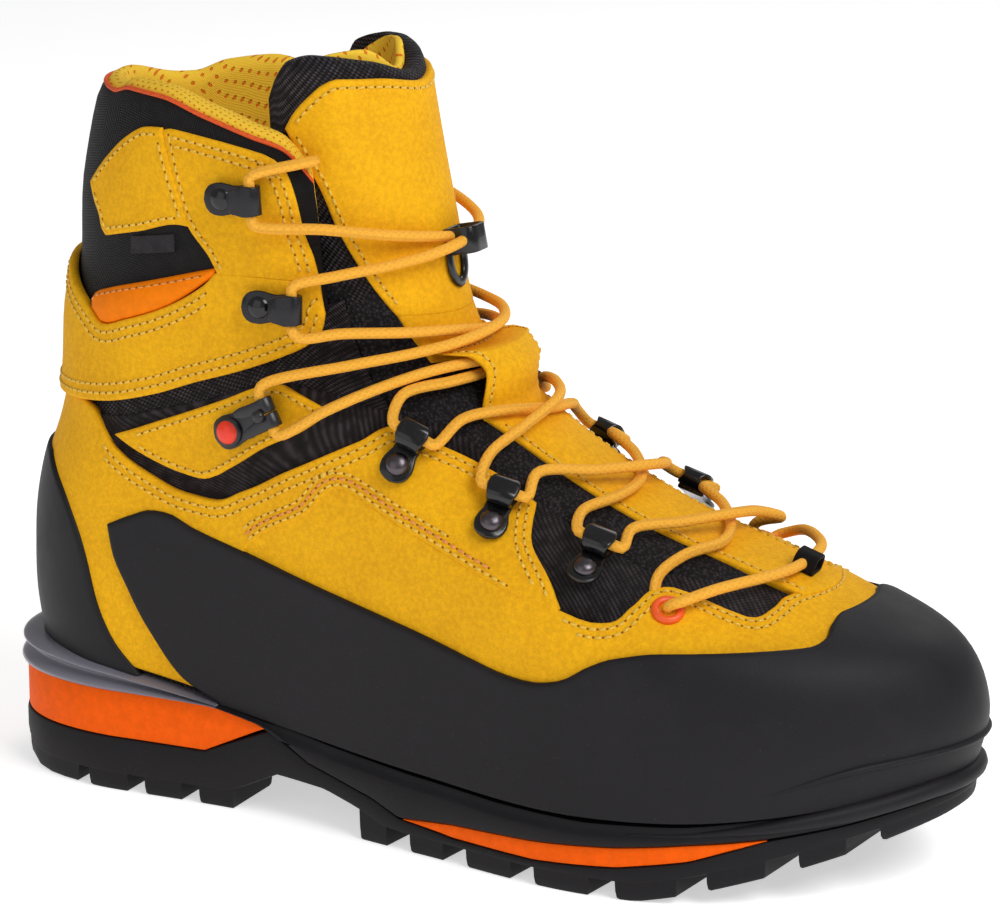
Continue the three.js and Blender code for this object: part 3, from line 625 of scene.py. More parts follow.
def both(points: Sequence[Pair]) -> list[Pair]:
    """An edge from the lateral side over the toe to the medial side."""
    other = mirrored(points) or []
    return list(points) + [p for p in other if p[0] > points[-1][0] + 1e-6]


def round_heel(points: Sequence[Pair]) -> list[Pair]:
    """An edge from the medial side round the heel to the lateral side, given from the heel on."""
    return [(-u, v) for u, v in reversed(points) if u > 1e-6] + list(points)


def sided(patch: Callable[..., Patch], side: Side, **edges: Optional[Sequence[Pair]]) -> Patch:
    """A patch given for the lateral side, made on either side."""
    if side is Side.LATERAL:
        return patch(**edges)
    edges = {k: opposite(e) if k in ("left", "right") and e else mirrored(e) for k, e in edges.items()}
    edges["left"], edges["right"] = edges.get("right"), edges.get("left")
    return patch(**edges)


# ---------------------------------------------------------------- shader maths
class Link:
    """A socket in a material, with arithmetic that adds Math nodes."""

    def __init__(self, graph: "Graph", socket: bpy.types.NodeSocket) -> None:
        """Keeps the socket and its graph."""
        self.graph, self.socket = graph, socket

    def math(self, operation: str, *others: "Number", turned_round: bool = False) -> "Link":
        """A Math node on this socket and others."""
        values = [self, *others]
        if turned_round:
            values.reverse()
        return self.graph.node("ShaderNodeMath", {"operation": operation}, dict(enumerate(values)))

    def __add__(self, other: "Number") -> "Link":
        """Sum."""
        return self.math("ADD", other)

    __radd__ = __add__

    def __sub__(self, other: "Number") -> "Link":
        """Difference."""
        return self.math("SUBTRACT", other)

    def __rsub__(self, other: "Number") -> "Link":
        """Difference the other way round."""
        return self.math("SUBTRACT", other, turned_round=True)

    def __mul__(self, other: "Number") -> "Link":
        """Product."""
        return self.math("MULTIPLY", other)

    __rmul__ = __mul__

    def sin(self) -> "Link":
        """Sine."""
        return self.math("SINE")

    def largest(self, other: "Number") -> "Link":
        """The larger of two."""
        return self.math("MAXIMUM", other)

    def over(self, low: float, high: float) -> "Link":
        """A smooth rise from 0 at low to 1 at high."""
        settings = {"interpolation_type": "SMOOTHSTEP"}
        return self.graph.node("ShaderNodeMapRange", settings,
                               {"Value": self, "From Min": low, "From Max": high})


Number = Union[float, Link]


class Graph:
    """A material and its nodes."""

    def __init__(self, name: str) -> None:
        """Starts an empty material."""
        self.material = bpy.data.materials.new(name)
        self.material.use_nodes = True
        self.tree = self.material.node_tree
        self.tree.nodes.clear()

    def node(self, kind: str, settings: Optional[dict] = None, values: Optional[dict] = None,
             output: Union[int, str] = 0) -> Link:
        """Adds one node.

        Args:
            kind: the node's type.
            settings: its own settings, set first.
            values: its sockets' numbers, colours or links, by name or number.
            output: which output to return.
        """
        made = self.tree.nodes.new(kind)
        for name, value in (settings or {}).items():
            setattr(made, name, value)
        for name, value in (values or {}).items():
            if isinstance(value, Link):
                self.tree.links.new(value.socket, made.inputs[name])
            else:
                made.inputs[name].default_value = value
        return Link(self, made.outputs[output])

    def place(self) -> Link:
        """Where a point is on the object."""
        return self.node("ShaderNodeTexCoord", output="Object")

    def cloth(self) -> tuple[Link, Link]:
        """Where a point is on its cloth: along and across, in metres."""
        uv = self.node("ShaderNodeUVMap", {"uv_map": "cloth"})
        return (self.node("ShaderNodeSeparateXYZ", values={0: uv}, output=0),
                self.node("ShaderNodeSeparateXYZ", values={0: uv}, output=1))

    def noise(self, scale: float, detail: float = 2.0, rough: float = 0.5) -> Link:
        """Soft random values about 0.5."""
        values = {"Vector": self.place(), "Scale": scale, "Detail": detail, "Roughness": rough}
        return self.node("ShaderNodeTexNoise", values=values)

    def mix(self, share: Number, first: Union[Colour, Link], second: Union[Colour, Link]) -> Link:
        """A mix of two colours."""
        made = self.tree.nodes.new("ShaderNodeMix")
        made.data_type = "RGBA"
        sockets = [s for s in made.inputs if s.type == "RGBA"]
        for socket, value in zip(sockets, (first, second)):
            if isinstance(value, Link):
                self.tree.links.new(value.socket, socket)
            else:
                socket.default_value = (*value, 1)
        if isinstance(share, Link):
            self.tree.links.new(share.socket, made.inputs[0])
        else:
            made.inputs[0].default_value = share
        return Link(self, next(s for s in made.outputs if s.type == "RGBA"))

    def bump(self, height: Link, distance: float, strength: float = 1.0,
             under: Optional[Link] = None) -> Link:
        """A bumped normal from a height; distance is in metres."""
        values = {"Height": height, "Distance": distance, "Strength": strength}
        if under is not None:
            values["Normal"] = under
        return self.node("ShaderNodeBump", values=values)

    def surface(self, **values: Union[Number, Colour]) -> bpy.types.Material:
        """Ends the material with a Principled shader; names have _ for spaces."""
        ready = {k.replace("_", " "): ((*v, 1) if isinstance(v, tuple) else v) for k, v in values.items()}
        shader = self.node("ShaderNodeBsdfPrincipled", values=ready)
        end = self.tree.nodes.new("ShaderNodeOutputMaterial")
        self.tree.links.new(shader.socket, end.inputs["Surface"])
        return self.material


def tint(code: str) -> Colour:
    """A colour in linear light from its six-figure code."""
    parts = [int(code[i:i + 2], 16) / 255 for i in (0, 2, 4)]
    red, green, blue = [p / 12.92 if p <= 0.04045 else ((p + 0.055) / 1.055) ** 2.4 for p in parts]
    return (red, green, blue)


# ---------------------------------------------------------------- finishes
@dataclass(frozen=True)
class Finish:
    """What every finish has: its name, its slot in the record and its main colour."""

    name: str
    slot: str
    colour: Colour

    def material(self) -> bpy.types.Material:
        """The material, made once."""
        return bpy.data.materials.get(self.name) or self.build(Graph(self.name))

    def build(self, graph: Graph) -> bpy.types.Material:
        """Makes the material."""
        raise NotImplementedError


@dataclass(frozen=True)
class Nubuck(Finish):
    """Brushed leather: a fine nap, faint clouds of shade and paler scuffs."""

    nap: float = 1400.0

    def build(self, graph: Graph) -> bpy.types.Material:
        """Clouds and grain in the colour, with a nap and soft creases in the bump."""
        dark = tuple(c * k for c, k in zip(self.colour, (0.76, 0.68, 0.48)))
        paler = zip(self.colour, (1.08, 1.16, 1.3), (0.01, 0.01, 0.004))
        pale = tuple(min(1.0, c * k + a) for c, k, a in paler)
        clouds = graph.noise(42, 4, 0.62).over(0.28, 0.72)
        grain = graph.noise(700, 5, 0.8).over(0.38, 0.64)
        tone = graph.mix(clouds * 0.35 + grain * 0.65, dark, self.colour)
        scuffs = graph.noise(240, 5, 0.75).over(0.58, 0.74)
        tone = graph.mix(scuffs * 0.4, tone, pale)
        soft = graph.bump(graph.noise(75, 3, 0.55), 0.0012, 0.4)
        nap = graph.bump(graph.noise(self.nap, 3, 0.6), 0.00012, 0.6, soft)
        return graph.surface(Base_Color=tone, Roughness=0.8, Normal=nap, Specular_IOR_Level=0.25)


@dataclass(frozen=True)
class Weave(Finish):
    """Woven cloth: threads over and under each other, one pitch apart."""

    pitch: float = 0.0013
    across: float = 0.8
    relief: float = 0.0004
    gloss: float = 0.62
    # How much lighter the crowns are painted: a painted sheen.
    crown: float = 2.3

    def build(self, graph: Graph) -> bpy.types.Material:
        """The product of two sine waves is the weave's height; it paints shade into the low threads and a
        painted sheen on the crowns.
        """
        x, y = graph.cloth()
        wave = 2 * math.pi / self.pitch
        weave = ((x + y * 0.35) * wave * self.across).sin() * ((y - x * 0.2) * wave).sin()
        raised = weave.over(-0.35, 0.9)
        # Painted shade in the low threads (0.35 of the colour) and a painted sheen on the crowns, in noise
        # patches.
        dark = tuple(c * 0.35 for c in self.colour)
        pale = tuple(c * self.crown + 0.004 for c in self.colour)
        tone = graph.mix(raised, dark, graph.mix(graph.noise(300, 3).over(0.3, 0.7), self.colour, pale))
        normal = graph.bump(weave, self.relief, 0.8)
        return graph.surface(Base_Color=tone, Roughness=self.gloss, Normal=normal, Specular_IOR_Level=0.22)


@dataclass(frozen=True)
class Boucle(Finish):
    """Looped stretch cloth: small uneven loops."""

    def build(self, graph: Graph) -> bpy.types.Material:
        """Cells about a millimetre across lift the loops; the raised loops get a painted sheen and the
        hollows between them painted shade.
        """
        warp = graph.noise(500, 2)
        cells = graph.node("ShaderNodeTexVoronoi", values={"Vector": graph.place(), "Scale": 900.0})
        loops = (cells * 0.9 + warp * 0.5).over(0.2, 0.9)
        # Painted sheen on the raised loops (2.4 times the colour) and painted shade in the hollows (0.4
        # times).
        tone = graph.mix(loops, tuple(c * 2.4 + 0.006 for c in self.colour),
                         tuple(c * 0.4 for c in self.colour))
        return graph.surface(Base_Color=tone, Roughness=0.85, Normal=graph.bump(1 - loops, 0.0006, 0.8),
                             Specular_IOR_Level=0.2)


@dataclass(frozen=True)
class SpacerMesh(Finish):
    """Knitted lining with staggered holes that show the layer under it."""

    holes: Colour = (0.85, 0.2, 0.01)
    pitch: float = 0.0052

    def build(self, graph: Graph) -> bpy.types.Material:
        """The sum of two cosines peaks once in each cell; past a level it is a hole."""
        x, y = graph.cloth()
        wave = 2 * math.pi / self.pitch
        peak = (x * wave).math("COSINE") * (y * wave).math("COSINE")
        hole = peak.over(0.62, 0.86)
        knit = ((x * wave * 6).sin() * (y * wave * 6).sin()).over(-0.6, 0.9)
        tone = graph.mix(knit * 0.3, self.colour, tuple(min(1, c * 1.15 + 0.03) for c in self.colour))
        tone = graph.mix(hole, tone, self.holes)
        height = knit * 0.2 - hole
        return graph.surface(Base_Color=tone, Roughness=0.8, Normal=graph.bump(height, 0.0007, 0.7),
                             Specular_IOR_Level=0.2)


@dataclass(frozen=True)
class Rubber(Finish):
    """Moulded rubber: fine matte grain, faint dust and flow marks."""

    rough: float = 0.52
    grain: float = 0.00012

    def build(self, graph: Graph) -> bpy.types.Material:
        """Grain in the bump, and dust that lightens and dulls it in patches."""
        dust = graph.noise(45, 5, 0.65).over(0.45, 0.8)
        specks = graph.noise(900, 2).over(0.7, 0.76)
        tone = graph.mix(dust * 0.35, self.colour, tuple(c * 1.9 + 0.006 for c in self.colour))
        tone = graph.mix(specks * 0.25, tone, tuple(c * 4 + 0.02 for c in self.colour))
        fine = graph.bump(graph.noise(2200, 2), self.grain, 0.6, graph.bump(graph.noise(60, 2), 0.0006, 0.2))
        return graph.surface(Base_Color=tone, Roughness=dust * 0.12 + self.rough, Normal=fine,
                             Specular_IOR_Level=0.22)


@dataclass(frozen=True)
class Foam(Finish):
    """Moulded foam with a fine bubbled skin."""

    def build(self, graph: Graph) -> bpy.types.Material:
        """Bubbles in the bump and slightly uneven colour."""
        mottle = graph.noise(260, 4, 0.7).over(0.3, 0.72)
        tone = graph.mix(mottle, tuple(c * 0.86 for c in self.colour), self.colour)
        bubbles = graph.bump(graph.noise(1700, 3, 0.6), 0.0002, 0.6)
        return graph.surface(Base_Color=tone, Roughness=0.62, Normal=bubbles, Specular_IOR_Level=0.1)


@dataclass(frozen=True)
class Gloss(Finish):
    """Smooth moulded plastic or lacquered wire, with faint scratches."""

    rough: float = 0.2
    metal: float = 0.0
    worn: float = 0.3

    def build(self, graph: Graph) -> bpy.types.Material:
        """Scratches vary the roughness and dents the surface a little."""
        wear = graph.noise(900, 4, 0.7).over(0.45, 0.8)
        tone = graph.mix(wear * self.worn, self.colour, tuple(min(1.0, c * 1.5 + 0.01) for c in self.colour))
        dents = graph.bump(graph.noise(320, 2), 0.0002 * self.worn, 0.8)
        return graph.surface(Base_Color=tone, Metallic=self.metal,
                             Roughness=wear * (0.6 * self.worn) + self.rough,
                             Normal=dents)


@dataclass(frozen=True)
class Braid(Finish):
    """A round braided cord: strands that wind both ways over each other."""

    strands: int = 10
    twist: float = 420.0

    def build(self, graph: Graph) -> bpy.types.Material:
        """The larger of two helical waves is the braid's height and shades its gaps."""
        x, y = graph.cloth()
        around = y * (2 * math.pi * self.strands / 2)
        run = x * (2 * math.pi * self.twist)
        braid = (around + run).sin().largest((around - run).sin())
        crown = braid.over(0.0, 0.95)
        fibre = graph.noise(2600, 2).over(0.3, 0.7)
        dark = tuple(c * k for c, k in zip(self.colour, (0.86, 0.74, 0.6)))
        tone = graph.mix(crown * 0.4 + fibre * 0.6, dark, self.colour)
        return graph.surface(Base_Color=tone, Roughness=0.75, Normal=graph.bump(braid, 0.00012, 0.5),
                             Specular_IOR_Level=0.25)


@dataclass(frozen=True)
class Plain(Finish):
    """Hidden boards, thread and felt: a flat colour broken by fibres."""

    rough: float = 0.9
    metal: float = 0.0
    fibre: float = 1200.0

    def build(self, graph: Graph) -> bpy.types.Material:
        """Fibres in the colour and bump."""
        fibre = graph.noise(self.fibre, 3, 0.7).over(0.3, 0.75)
        tone = graph.mix(fibre, tuple(c * 0.7 for c in self.colour), self.colour)
        return graph.surface(Base_Color=tone, Metallic=self.metal, Roughness=self.rough,
                             Normal=graph.bump(fibre, 0.0002, 0.5))


class Finishes:
    """All the boot's finishes."""

    NUBUCK = Nubuck("brushed_nubuck", "nubuck", tint("F8B905"))
    # crown=6.0 paints a strong sheen on this cloth's crowns.
    CLOTH = Weave("heavy_weave", "textile", tint("1E1A1D"), pitch=0.0016, relief=0.0005, crown=6.0)
    RIPSTOP = Weave("cuff_weave", "textile", tint("0E0C0E"), pitch=0.0010, across=0.55, relief=0.0002)
    LOOPS = Boucle("stretch_loops", "textile", tint("201D20"))
    WEBBING = Weave("webbing", "textile", tint("171517"), pitch=0.0009)
    LABEL = Weave("label_weave", "textile", tint("302E31"), pitch=0.0005, relief=0.0001)
    RAND = Rubber("rand_rubber", "rubber", tint("19171A"))
    TREAD = Rubber("tread_rubber", "rubber", tint("141215"), rough=0.6)
    FOAM = Foam("orange_foam", "foam", tint("FF6200"))
    PAD = Foam("orange_cloth", "orange", tint("FF8400"))
    LINING = SpacerMesh("spacer_mesh", "mesh", tint("FFCE3A"))
    PIPING = Plain("rim_piping", "orange", tint("F05A14"), rough=0.7)
    WELT = Gloss("welt_plastic", "welt", tint("76747E"), rough=0.24, worn=0.06)
    HOOK = Gloss("hook_coat", "gunmetal", tint("26262A"), rough=0.26, metal=0.5)
    LOOP = Gloss("loop_coat", "gloss", tint("111113"), rough=0.14)
    RIVET = Gloss("rivet_steel", "gunmetal", tint("5C565A"), rough=0.3, metal=1.0)
    CLASP = Gloss("clasp_plastic", "gunmetal", tint("1E1E22"), rough=0.32)
    RED = Gloss("red_cap", "red", tint("F2381C"), rough=0.3)
    RING = Gloss("grommet_paint", "grommet", tint("EE5A1C"), rough=0.35)
    LACE = Braid("lace_braid", "lace", tint("F9B940"))
    THREAD = Plain("thread", "nubuck", tint("FACB45"), rough=0.6)
    SEAM_THREAD = Plain("seam_thread", "nubuck", tint("F5A04C"), rough=0.6)
    HOLE_SHADE = Plain("needle_hole_shade", "nubuck", tint("9C6410"), rough=0.95)
    # Painted shade: the dark colour of the needle-hole and eyelet-hole discs.
    BOARD = Plain("pressed_board", "board", tint("B9A888"))
    STEEL = Plain("shank_steel", "shank", tint("9AA0A6"), rough=0.35, metal=1.0, fibre=300)
    FELT = Plain("footbed_felt", "footbed", tint("3C3C42"), fibre=900)


# ---------------------------------------------------------------- stitching
@dataclass
class Stitching:
    """Rows of stitches gathered for one body and sewn as two pieces: thread, and dark discs at the needle
    holes that paint their shade.
    """

    name: str
    body: Union[Body, Bend]
    thread: Finish = Finishes.THREAD
    pitch: float = 2.9
    length: float = 2.15
    radius: float = 0.5
    rows: list[Array] = field(default_factory=list)

    def row(self, line: Array) -> None:
        """Adds a row along [u, v, lift] places."""
        if len(line) > 2:
            self.rows.append(line)

    def edge(self, patch: Patch, side: str, depths: Sequence[float], clear: float = -1.0) -> None:
        """Adds rows inside an edge of a panel."""
        for depth in depths:
            self.row(patch.inset(side, depth, clear))

    def _frames(self, shift: float) -> tuple[Array, Array, Array]:
        """Even places along every row: points, directions along the row and directions out."""
        points, run, out = [], [], []
        for line in self.rows:
            path = LAST.at(line[:, 0], line[:, 1], line[:, 2])
            count = int(along(path)[-1] / self.pitch)
            if count < 1:
                continue
            reach = along(path)
            wanted = (np.arange(count) + shift) * self.pitch

            def read(rows: Array) -> Array:
                """The rows at the wanted reaches."""
                return np.stack([np.interp(wanted, reach, c) for c in rows.T], 1)

            points.append(read(path))
            run.append(unit(read(unit(np.gradient(path, axis=0)))))
            out.append(unit(read(LAST.normal(line[:, 0], line[:, 1]))))
        return np.concatenate(points), np.concatenate(run), np.concatenate(out)

    def _scatter(self, template: Form, frames: tuple[Array, Array, Array]) -> Form:
        """The template at every frame: X along the row and Z out."""
        points, run, out = frames
        across = unit(np.cross(out, run))
        t = template.points
        placed = points[:, None] + t[None, :, :1] * run[:, None] + t[None, :, 1:2] * across[:, None]
        placed = placed + t[None, :, 2:] * out[:, None]
        count = len(t)
        shape = [np.array(f) for f in template.faces]
        faces = [tuple((f + k * count).tolist()) for k in range(len(points)) for f in shape]
        return Form(placed.reshape(-1, 3), faces)

    def sew(self) -> None:
        """Makes the thread and, between the stitches, dark discs for the needle holes: painted shade."""
        half = self.length / 2
        path = np.array([[-half, 0, -0.3], [-half * 0.6, 0, 0.1], [half * 0.6, 0, 0.1], [half, 0, -0.3]])
        section = oval(self.radius, self.radius * 0.8, 6) * np.array([[[0.3]], [[1]], [[1]], [[0.3]]])
        stitch = sweep(path, np.array([0, 1.0, 0]), np.array([0, 0, 1.0]), section)
        Workshop.piece(self.name, self._scatter(stitch, self._frames(0.5)), self.body, self.thread,
                       merge=1e-8)
        # Painted shade: a flat dark disc, standing just off the leather, for the shade in each needle hole.
        hole = turned([(0, -0.2), (0.42, -0.2), (0.4, 0.05), (0, 0.07)], 6)
        Workshop.piece(f"{self.name}_holes", self._scatter(hole, self._frames(1.0)), self.body, Finishes.HOLE_SHADE,
                       merge=1e-8)


# ---------------------------------------------------------------- sole
Line = Sequence[Pair]


def read_line(line: Line, x: Values) -> Array:
    """Straight lines through [x, height] pairs."""
    pairs = np.asarray(line, float)
    return np.interp(x, pairs[:, 0], pairs[:, 1])


@dataclass
class Sole:
    """Lugged outsole, foam wedges, midsole and heel welt, as layers between side lines."""

    feather: Line = ((-8, 41.2), (20, 40.4), (40, 38.6), (60, 35.6), (78, 32.7), (96, 29.6), (120, 26.2),
                     (150, 23.4), (180, 21.8), (210, 21.4), (240, 23), (262, 25.6), (285, 29.4),
                     (300, 32.6), (312, 34))
    ground: Line = ((-8, 12), (-5, 8), (2, 2.5), (11, 0), (84, 0), (89, 6), (100, 14), (118, 13),
                    (130, 9.8), (130.5, 0), (226, 0), (240, 3), (255, 7), (270, 11), (285, 15.5), (300, 21),
                    (312, 27))
    tread: Line = ((-8, 15.5), (-5, 13.5), (2, 8.4), (11, 5.8), (82, 5.5), (89, 8.6), (100, 14), (118, 13),
                   (130, 9.9), (140, 6.2), (150, 5.5), (226, 5.5), (240, 8.4), (255, 12.2), (270, 16),
                   (285, 20), (300, 24.6), (312, 29))
    outsole_top: Line = ((-8, 17.2), (74, 17.2), (97.5, 27.4), (112, 20), (136, 14), (146, 9.9), (165, 7.9),
                         (194, 7.7), (220, 9.6), (241, 13.3), (262, 20), (280, 23), (312, 30.4))
    wedge_top: Line = ((-8, 32.2), (77, 32.2), (93, 28.9), (96, 28.2))
    wedge_low: Line = ((-8, 17.2), (74, 17.2), (96, 27.8))
    lens_low: Line = ((146, 9.9), (165, 7.9), (194, 7.7), (220, 9.6), (241, 13.3), (262, 20))
    lens_top: Line = ((146, 10), (165, 12.1), (194, 13.6), (220, 15.8), (241, 18.5), (262, 20.2))
    midsole_low: Line = ((79, 32), (94, 29.2), (98, 27.6), (112, 20.1), (136, 14.1), (146, 10.1),
                         (165, 12.2), (194, 13.6), (220, 15.8), (241, 18.5), (262, 20.4), (280, 23.1),
                         (312, 30.4))
    lateral_lugs: Line = ((-3.5, 29), (33, 47), (53, 66), (72, 84), (131, 141), (149.5, 161.5), (170, 186),
                          (194, 212), (220, 238), (246, 261), (269, 280))
    centre_lugs: Line = ((159, 174), (182, 199), (207, 225), (233, 249))
    back: float = -9.0
    tip: float = 312.0
    toe_block: float = 287.0
    lug_depth: float = 27.0

    def slab(self, ends: Pair, low: Line, high: Line, rows: Sequence[tuple[float, float, float]],
             grow: float = 0.0,
             count: int = 110) -> Form:
        """A layer of the sole: a ring of side rows at each station, carried from heel to toe.

        Args:
            ends: lowest and highest x, found on the lateral outline.
            low: the layer's lower side line.
            high: its upper side line.
            rows: from bottom to top, how far out, what share of the way from low to high, and how far
                above that.
            grow: how far the whole layer stands out of the sole's outline.
            count: how many stations there are.
        """
        fine = np.linspace(0, 1, 600)
        reach = LAST.outline(fine, grow)[:, 0]
        u = np.interp(np.linspace(max(ends[0], reach[0]), min(ends[1], reach[-1]), count), reach, fine)
        u = np.unique(np.concatenate([u, fine[:30][fine[:30] >= u[0]], fine[-30:][fine[-30:] <= u[-1]]]))
        lateral, medial = [], []
        for out, base, above in rows:
            for turn, rail in ((u, lateral), (2 - u, medial)):
                plan = LAST.outline(turn, grow + out)
                floor, roof = read_line(low, plan[:, 0]), read_line(high, plan[:, 0])
                room = np.clip((roof - floor) / 3.0, 0, 1)
                rail.append(np.column_stack([plan, floor + (roof - floor) * base + above * room]))
        ring = np.stack(medial + lateral[::-1], 1)
        n, m = ring.shape[:2]
        faces = as_faces(grid_faces(n, m, False, True, turned=True))
        faces += [tuple(range(m))[::-1], tuple((n - 1) * m + k for k in range(m))]
        return Form(ring.reshape(-1, 3), faces)

    def edge(self, side: Side, x: Array, inset: float = 0.0) -> Array:
        """The y of the sole's edge at each x."""
        fine = np.linspace(0.001, 0.999, 500)
        plan = LAST.outline(side.turn(fine), -0.3)
        sign = 1 if side is Side.LATERAL else -1
        return np.interp(x, plan[:, 0], plan[:, 1]) + sign * inset

    def lug(self, plan: Array) -> Form:
        """A block of tread over a plan outline: its sides draw in downward and its foot is eased."""
        area = np.sum(plan[:, 0] * np.roll(plan[:, 1], -1) - np.roll(plan[:, 0], -1) * plan[:, 1])
        plan = plan if area > 0 else plan[::-1]
        middle = plan.mean(0)
        rings = []
        for scale, share, above in ((0.9, 0.0, 0.0), (0.955, 0.0, 0.7), (0.985, 0.5, 0.0), (1.0, 1.0, 0.9)):
            flat = middle + (plan - middle) * scale
            low, high = read_line(self.ground, flat[:, 0]), read_line(self.tread, flat[:, 0])
            rings.append(np.column_stack([flat, low + (high - low) * share + above]))
        m = len(plan)
        points = np.concatenate(rings + [rings[0].mean(0, keepdims=True), rings[-1].mean(0, keepdims=True)])
        j = np.arange(m)
        low_fan = np.stack([np.full(m, 4 * m), (j + 1) % m, j], 1)
        high_fan = np.stack([np.full(m, 4 * m + 1), 3 * m + j, 3 * m + (j + 1) % m], 1)
        return Form(points, as_faces(grid_faces(4, m, False, True, turned=True), low_fan, high_fan))

    def lugs(self) -> list[Form]:
        """Rows of lugs down both edges, hexagonal ones down the middle and one block round the toe."""
        forms = []
        for side in Side:
            for low, high in self.lateral_lugs:
                x = np.linspace(low, high, 6)
                depth = self.lug_depth * (0.85 if low > 120 else 0.95)
                inner = self.edge(side, x[::-1], depth)
                slant = (3.0 if low > 120 else 0.0) * np.ones(6)
                limit = -2.5 if side is Side.LATERAL else 2.5
                inner = np.minimum(inner, limit) if side is Side.LATERAL else np.maximum(inner, limit)
                forms.append(self.lug(np.concatenate([
                    np.stack([x, self.edge(side, x)], 1), np.stack([x[::-1] + slant, inner], 1)])))
        for low, high in self.centre_lugs:
            hexagon = [(low, 3), (low + 5, -10), (high - 5, -10), (high, 3), (high - 5, 15), (low + 5, 15)]
            forms.append(self.lug(np.array(hexagon, float)))
        fine = np.linspace(0.001, 0.999, 400)
        lateral, medial = LAST.outline(fine, -0.3), LAST.outline(2 - fine, -0.3)
        toe = np.concatenate([even(lateral[lateral[:, 0] > self.toe_block], 12),
                              even(medial[medial[:, 0] > self.toe_block][::-1], 12)])
        forms.append(self.lug(toe))
        return forms

    def build(self) -> None:
        """Makes the layers from the ground up."""
        plain = [(-0.9, 0, 0.0), (-0.25, 0, 0.25), (0.0, 0, 0.9), (0.0, 1, -0.9), (-0.25, 1, -0.25),
                 (-0.9, 1, 0.0)]
        base = self.slab((self.back, self.tip), self.tread, self.outsole_top, plain)
        Workshop.piece("lugged_outsole", join([base] + self.lugs()), Body.FOOT, Finishes.TREAD, ["outsole"],
                       crisp=38)
        foam = [(-1.6, 0, 0.0), (-0.7, 0, 0.3), (-0.5, 0, 1.0), (-0.5, 1, -1.0), (-0.7, 1, -0.3),
                (-1.6, 1, 0.0)]
        for name, ends, low, high, node in (
                ("heel_foam", (self.back, 95.5), self.wedge_low, self.wedge_top, "heel_wedge"),
                ("forefoot_foam", (147, 261.5), self.lens_low, self.lens_top, "forefoot_wedge")):
            Workshop.piece(name, self.slab(ends, low, high, foam), Body.FOOT, Finishes.FOAM, [node], crisp=50)
        step = [(-0.9, 0, 0.0), (0.2, 0, 0.4), (0.8, 0, 1.2), (0.8, 1, -3.2), (0.4, 1, -2.4),
                (-0.6, 1, -1.7), (-0.9, 1, -0.6), (-1.4, 1, 0.4)]
        Workshop.piece("black_midsole", self.slab((79, self.tip), self.midsole_low, self.feather, step),
                       Body.FOOT,
                       Finishes.TREAD, ["midsole"], crisp=50)
        profile = np.array([(-1.5, 0), (-0.2, 0), (0.8, 0.07), (1.3, 0.17), (0.9, 0.3), (-0.6, 0.43),
                            (-2.0, 0.56), (-1.5, 0.69), (0.0, 0.79), (0.75, 0.87), (0.5, 0.96),
                            (-0.9, 1.05), (-3.0, 1.12), (-5.5, 1.16)])
        place = np.arange(len(profile))
        welt = [(out, share, 0.0) for out, share in spline(place, profile, np.linspace(0, place[-1], 40))]
        Workshop.piece("heel_crampon_welt", self.slab((self.back, 79), self.wedge_top, self.feather, welt),
                       Body.FOOT,
                       Finishes.WELT, ["heel_welt"])
        self.toe_lips()

    def toe_lips(self) -> None:
        """Two lips round the toe with a groove between them: ovals that grow out of the side."""
        u = np.linspace(0.66, 1.34, 150)
        grown = ease(0.66, 0.84, np.minimum(u, 2 - u))
        flat = unit(LAST.normal(u, 0 * u) * np.array([1.0, 1.0, 0.0]))
        upright = np.array([0.0, 0.0, 1.0])
        plan = LAST.outline(u, 0.4 + 1.4 * grown)
        height = read_line(self.feather, plan[:, 0])
        lower = np.column_stack([plan - flat[:, :2] * 2.2, height - 1.9 - 0.2 * grown])
        section = oval(1.0, 1.0, 12) * np.stack([1.6 + 1.6 * grown, 0.5 + 2.4 * grown], 1)[:, None]
        lips = [sweep(lower, flat, upright, section)]
        upper = LAST.at(u, 0.006 + 0.052 * grown, 2.0 + 0.8 * grown)
        section = oval(1.0, 1.0, 12) * np.stack([0.6 + 2.2 * grown, 0.3 + 1.1 * grown], 1)[:, None]
        lips.append(sweep(upper, flat, upright, section))
        Workshop.piece("toe_crampon_lips", join(lips), Body.FOOT, Finishes.RAND)


# ---------------------------------------------------------------- upper on the foot
FLEX_LOW = ((0, 0.553), (0.25, 0.56), (0.36, 0.602), (0.46, 0.645), (0.575, 0.69), (0.63, 0.688),
            (0.7, 0.67), (0.8, 0.65), (0.9, 0.645), (1, 0.64))
FLEX_HIGH = ((0, 0.585), (0.25, 0.6), (0.36, 0.64), (0.46, 0.69), (0.575, 0.748), (0.66, 0.782), (0.74, 0.8))
HEEL_FLEX = Bend(Body.FOOT, Body.CUFF, (80.0, 0.0, 116.0), (76.0, 0.0, 138.0))
FRONT_FLEX = Bend(Body.FOOT, Body.CUFF, (158.0, 0.0, 127.0), (150.0, 0.0, 152.0))
TIP_FLEX = Bend(Body.CUFF, Body.TIP, (132.0, 0.0, 196.0), (128.0, 0.0, 212.0))
SEAM = ((0.386, 0.314), (0.47, 0.43), (0.557, 0.519), (0.585, 0.45), (0.611, 0.371), (0.632, 0.322))


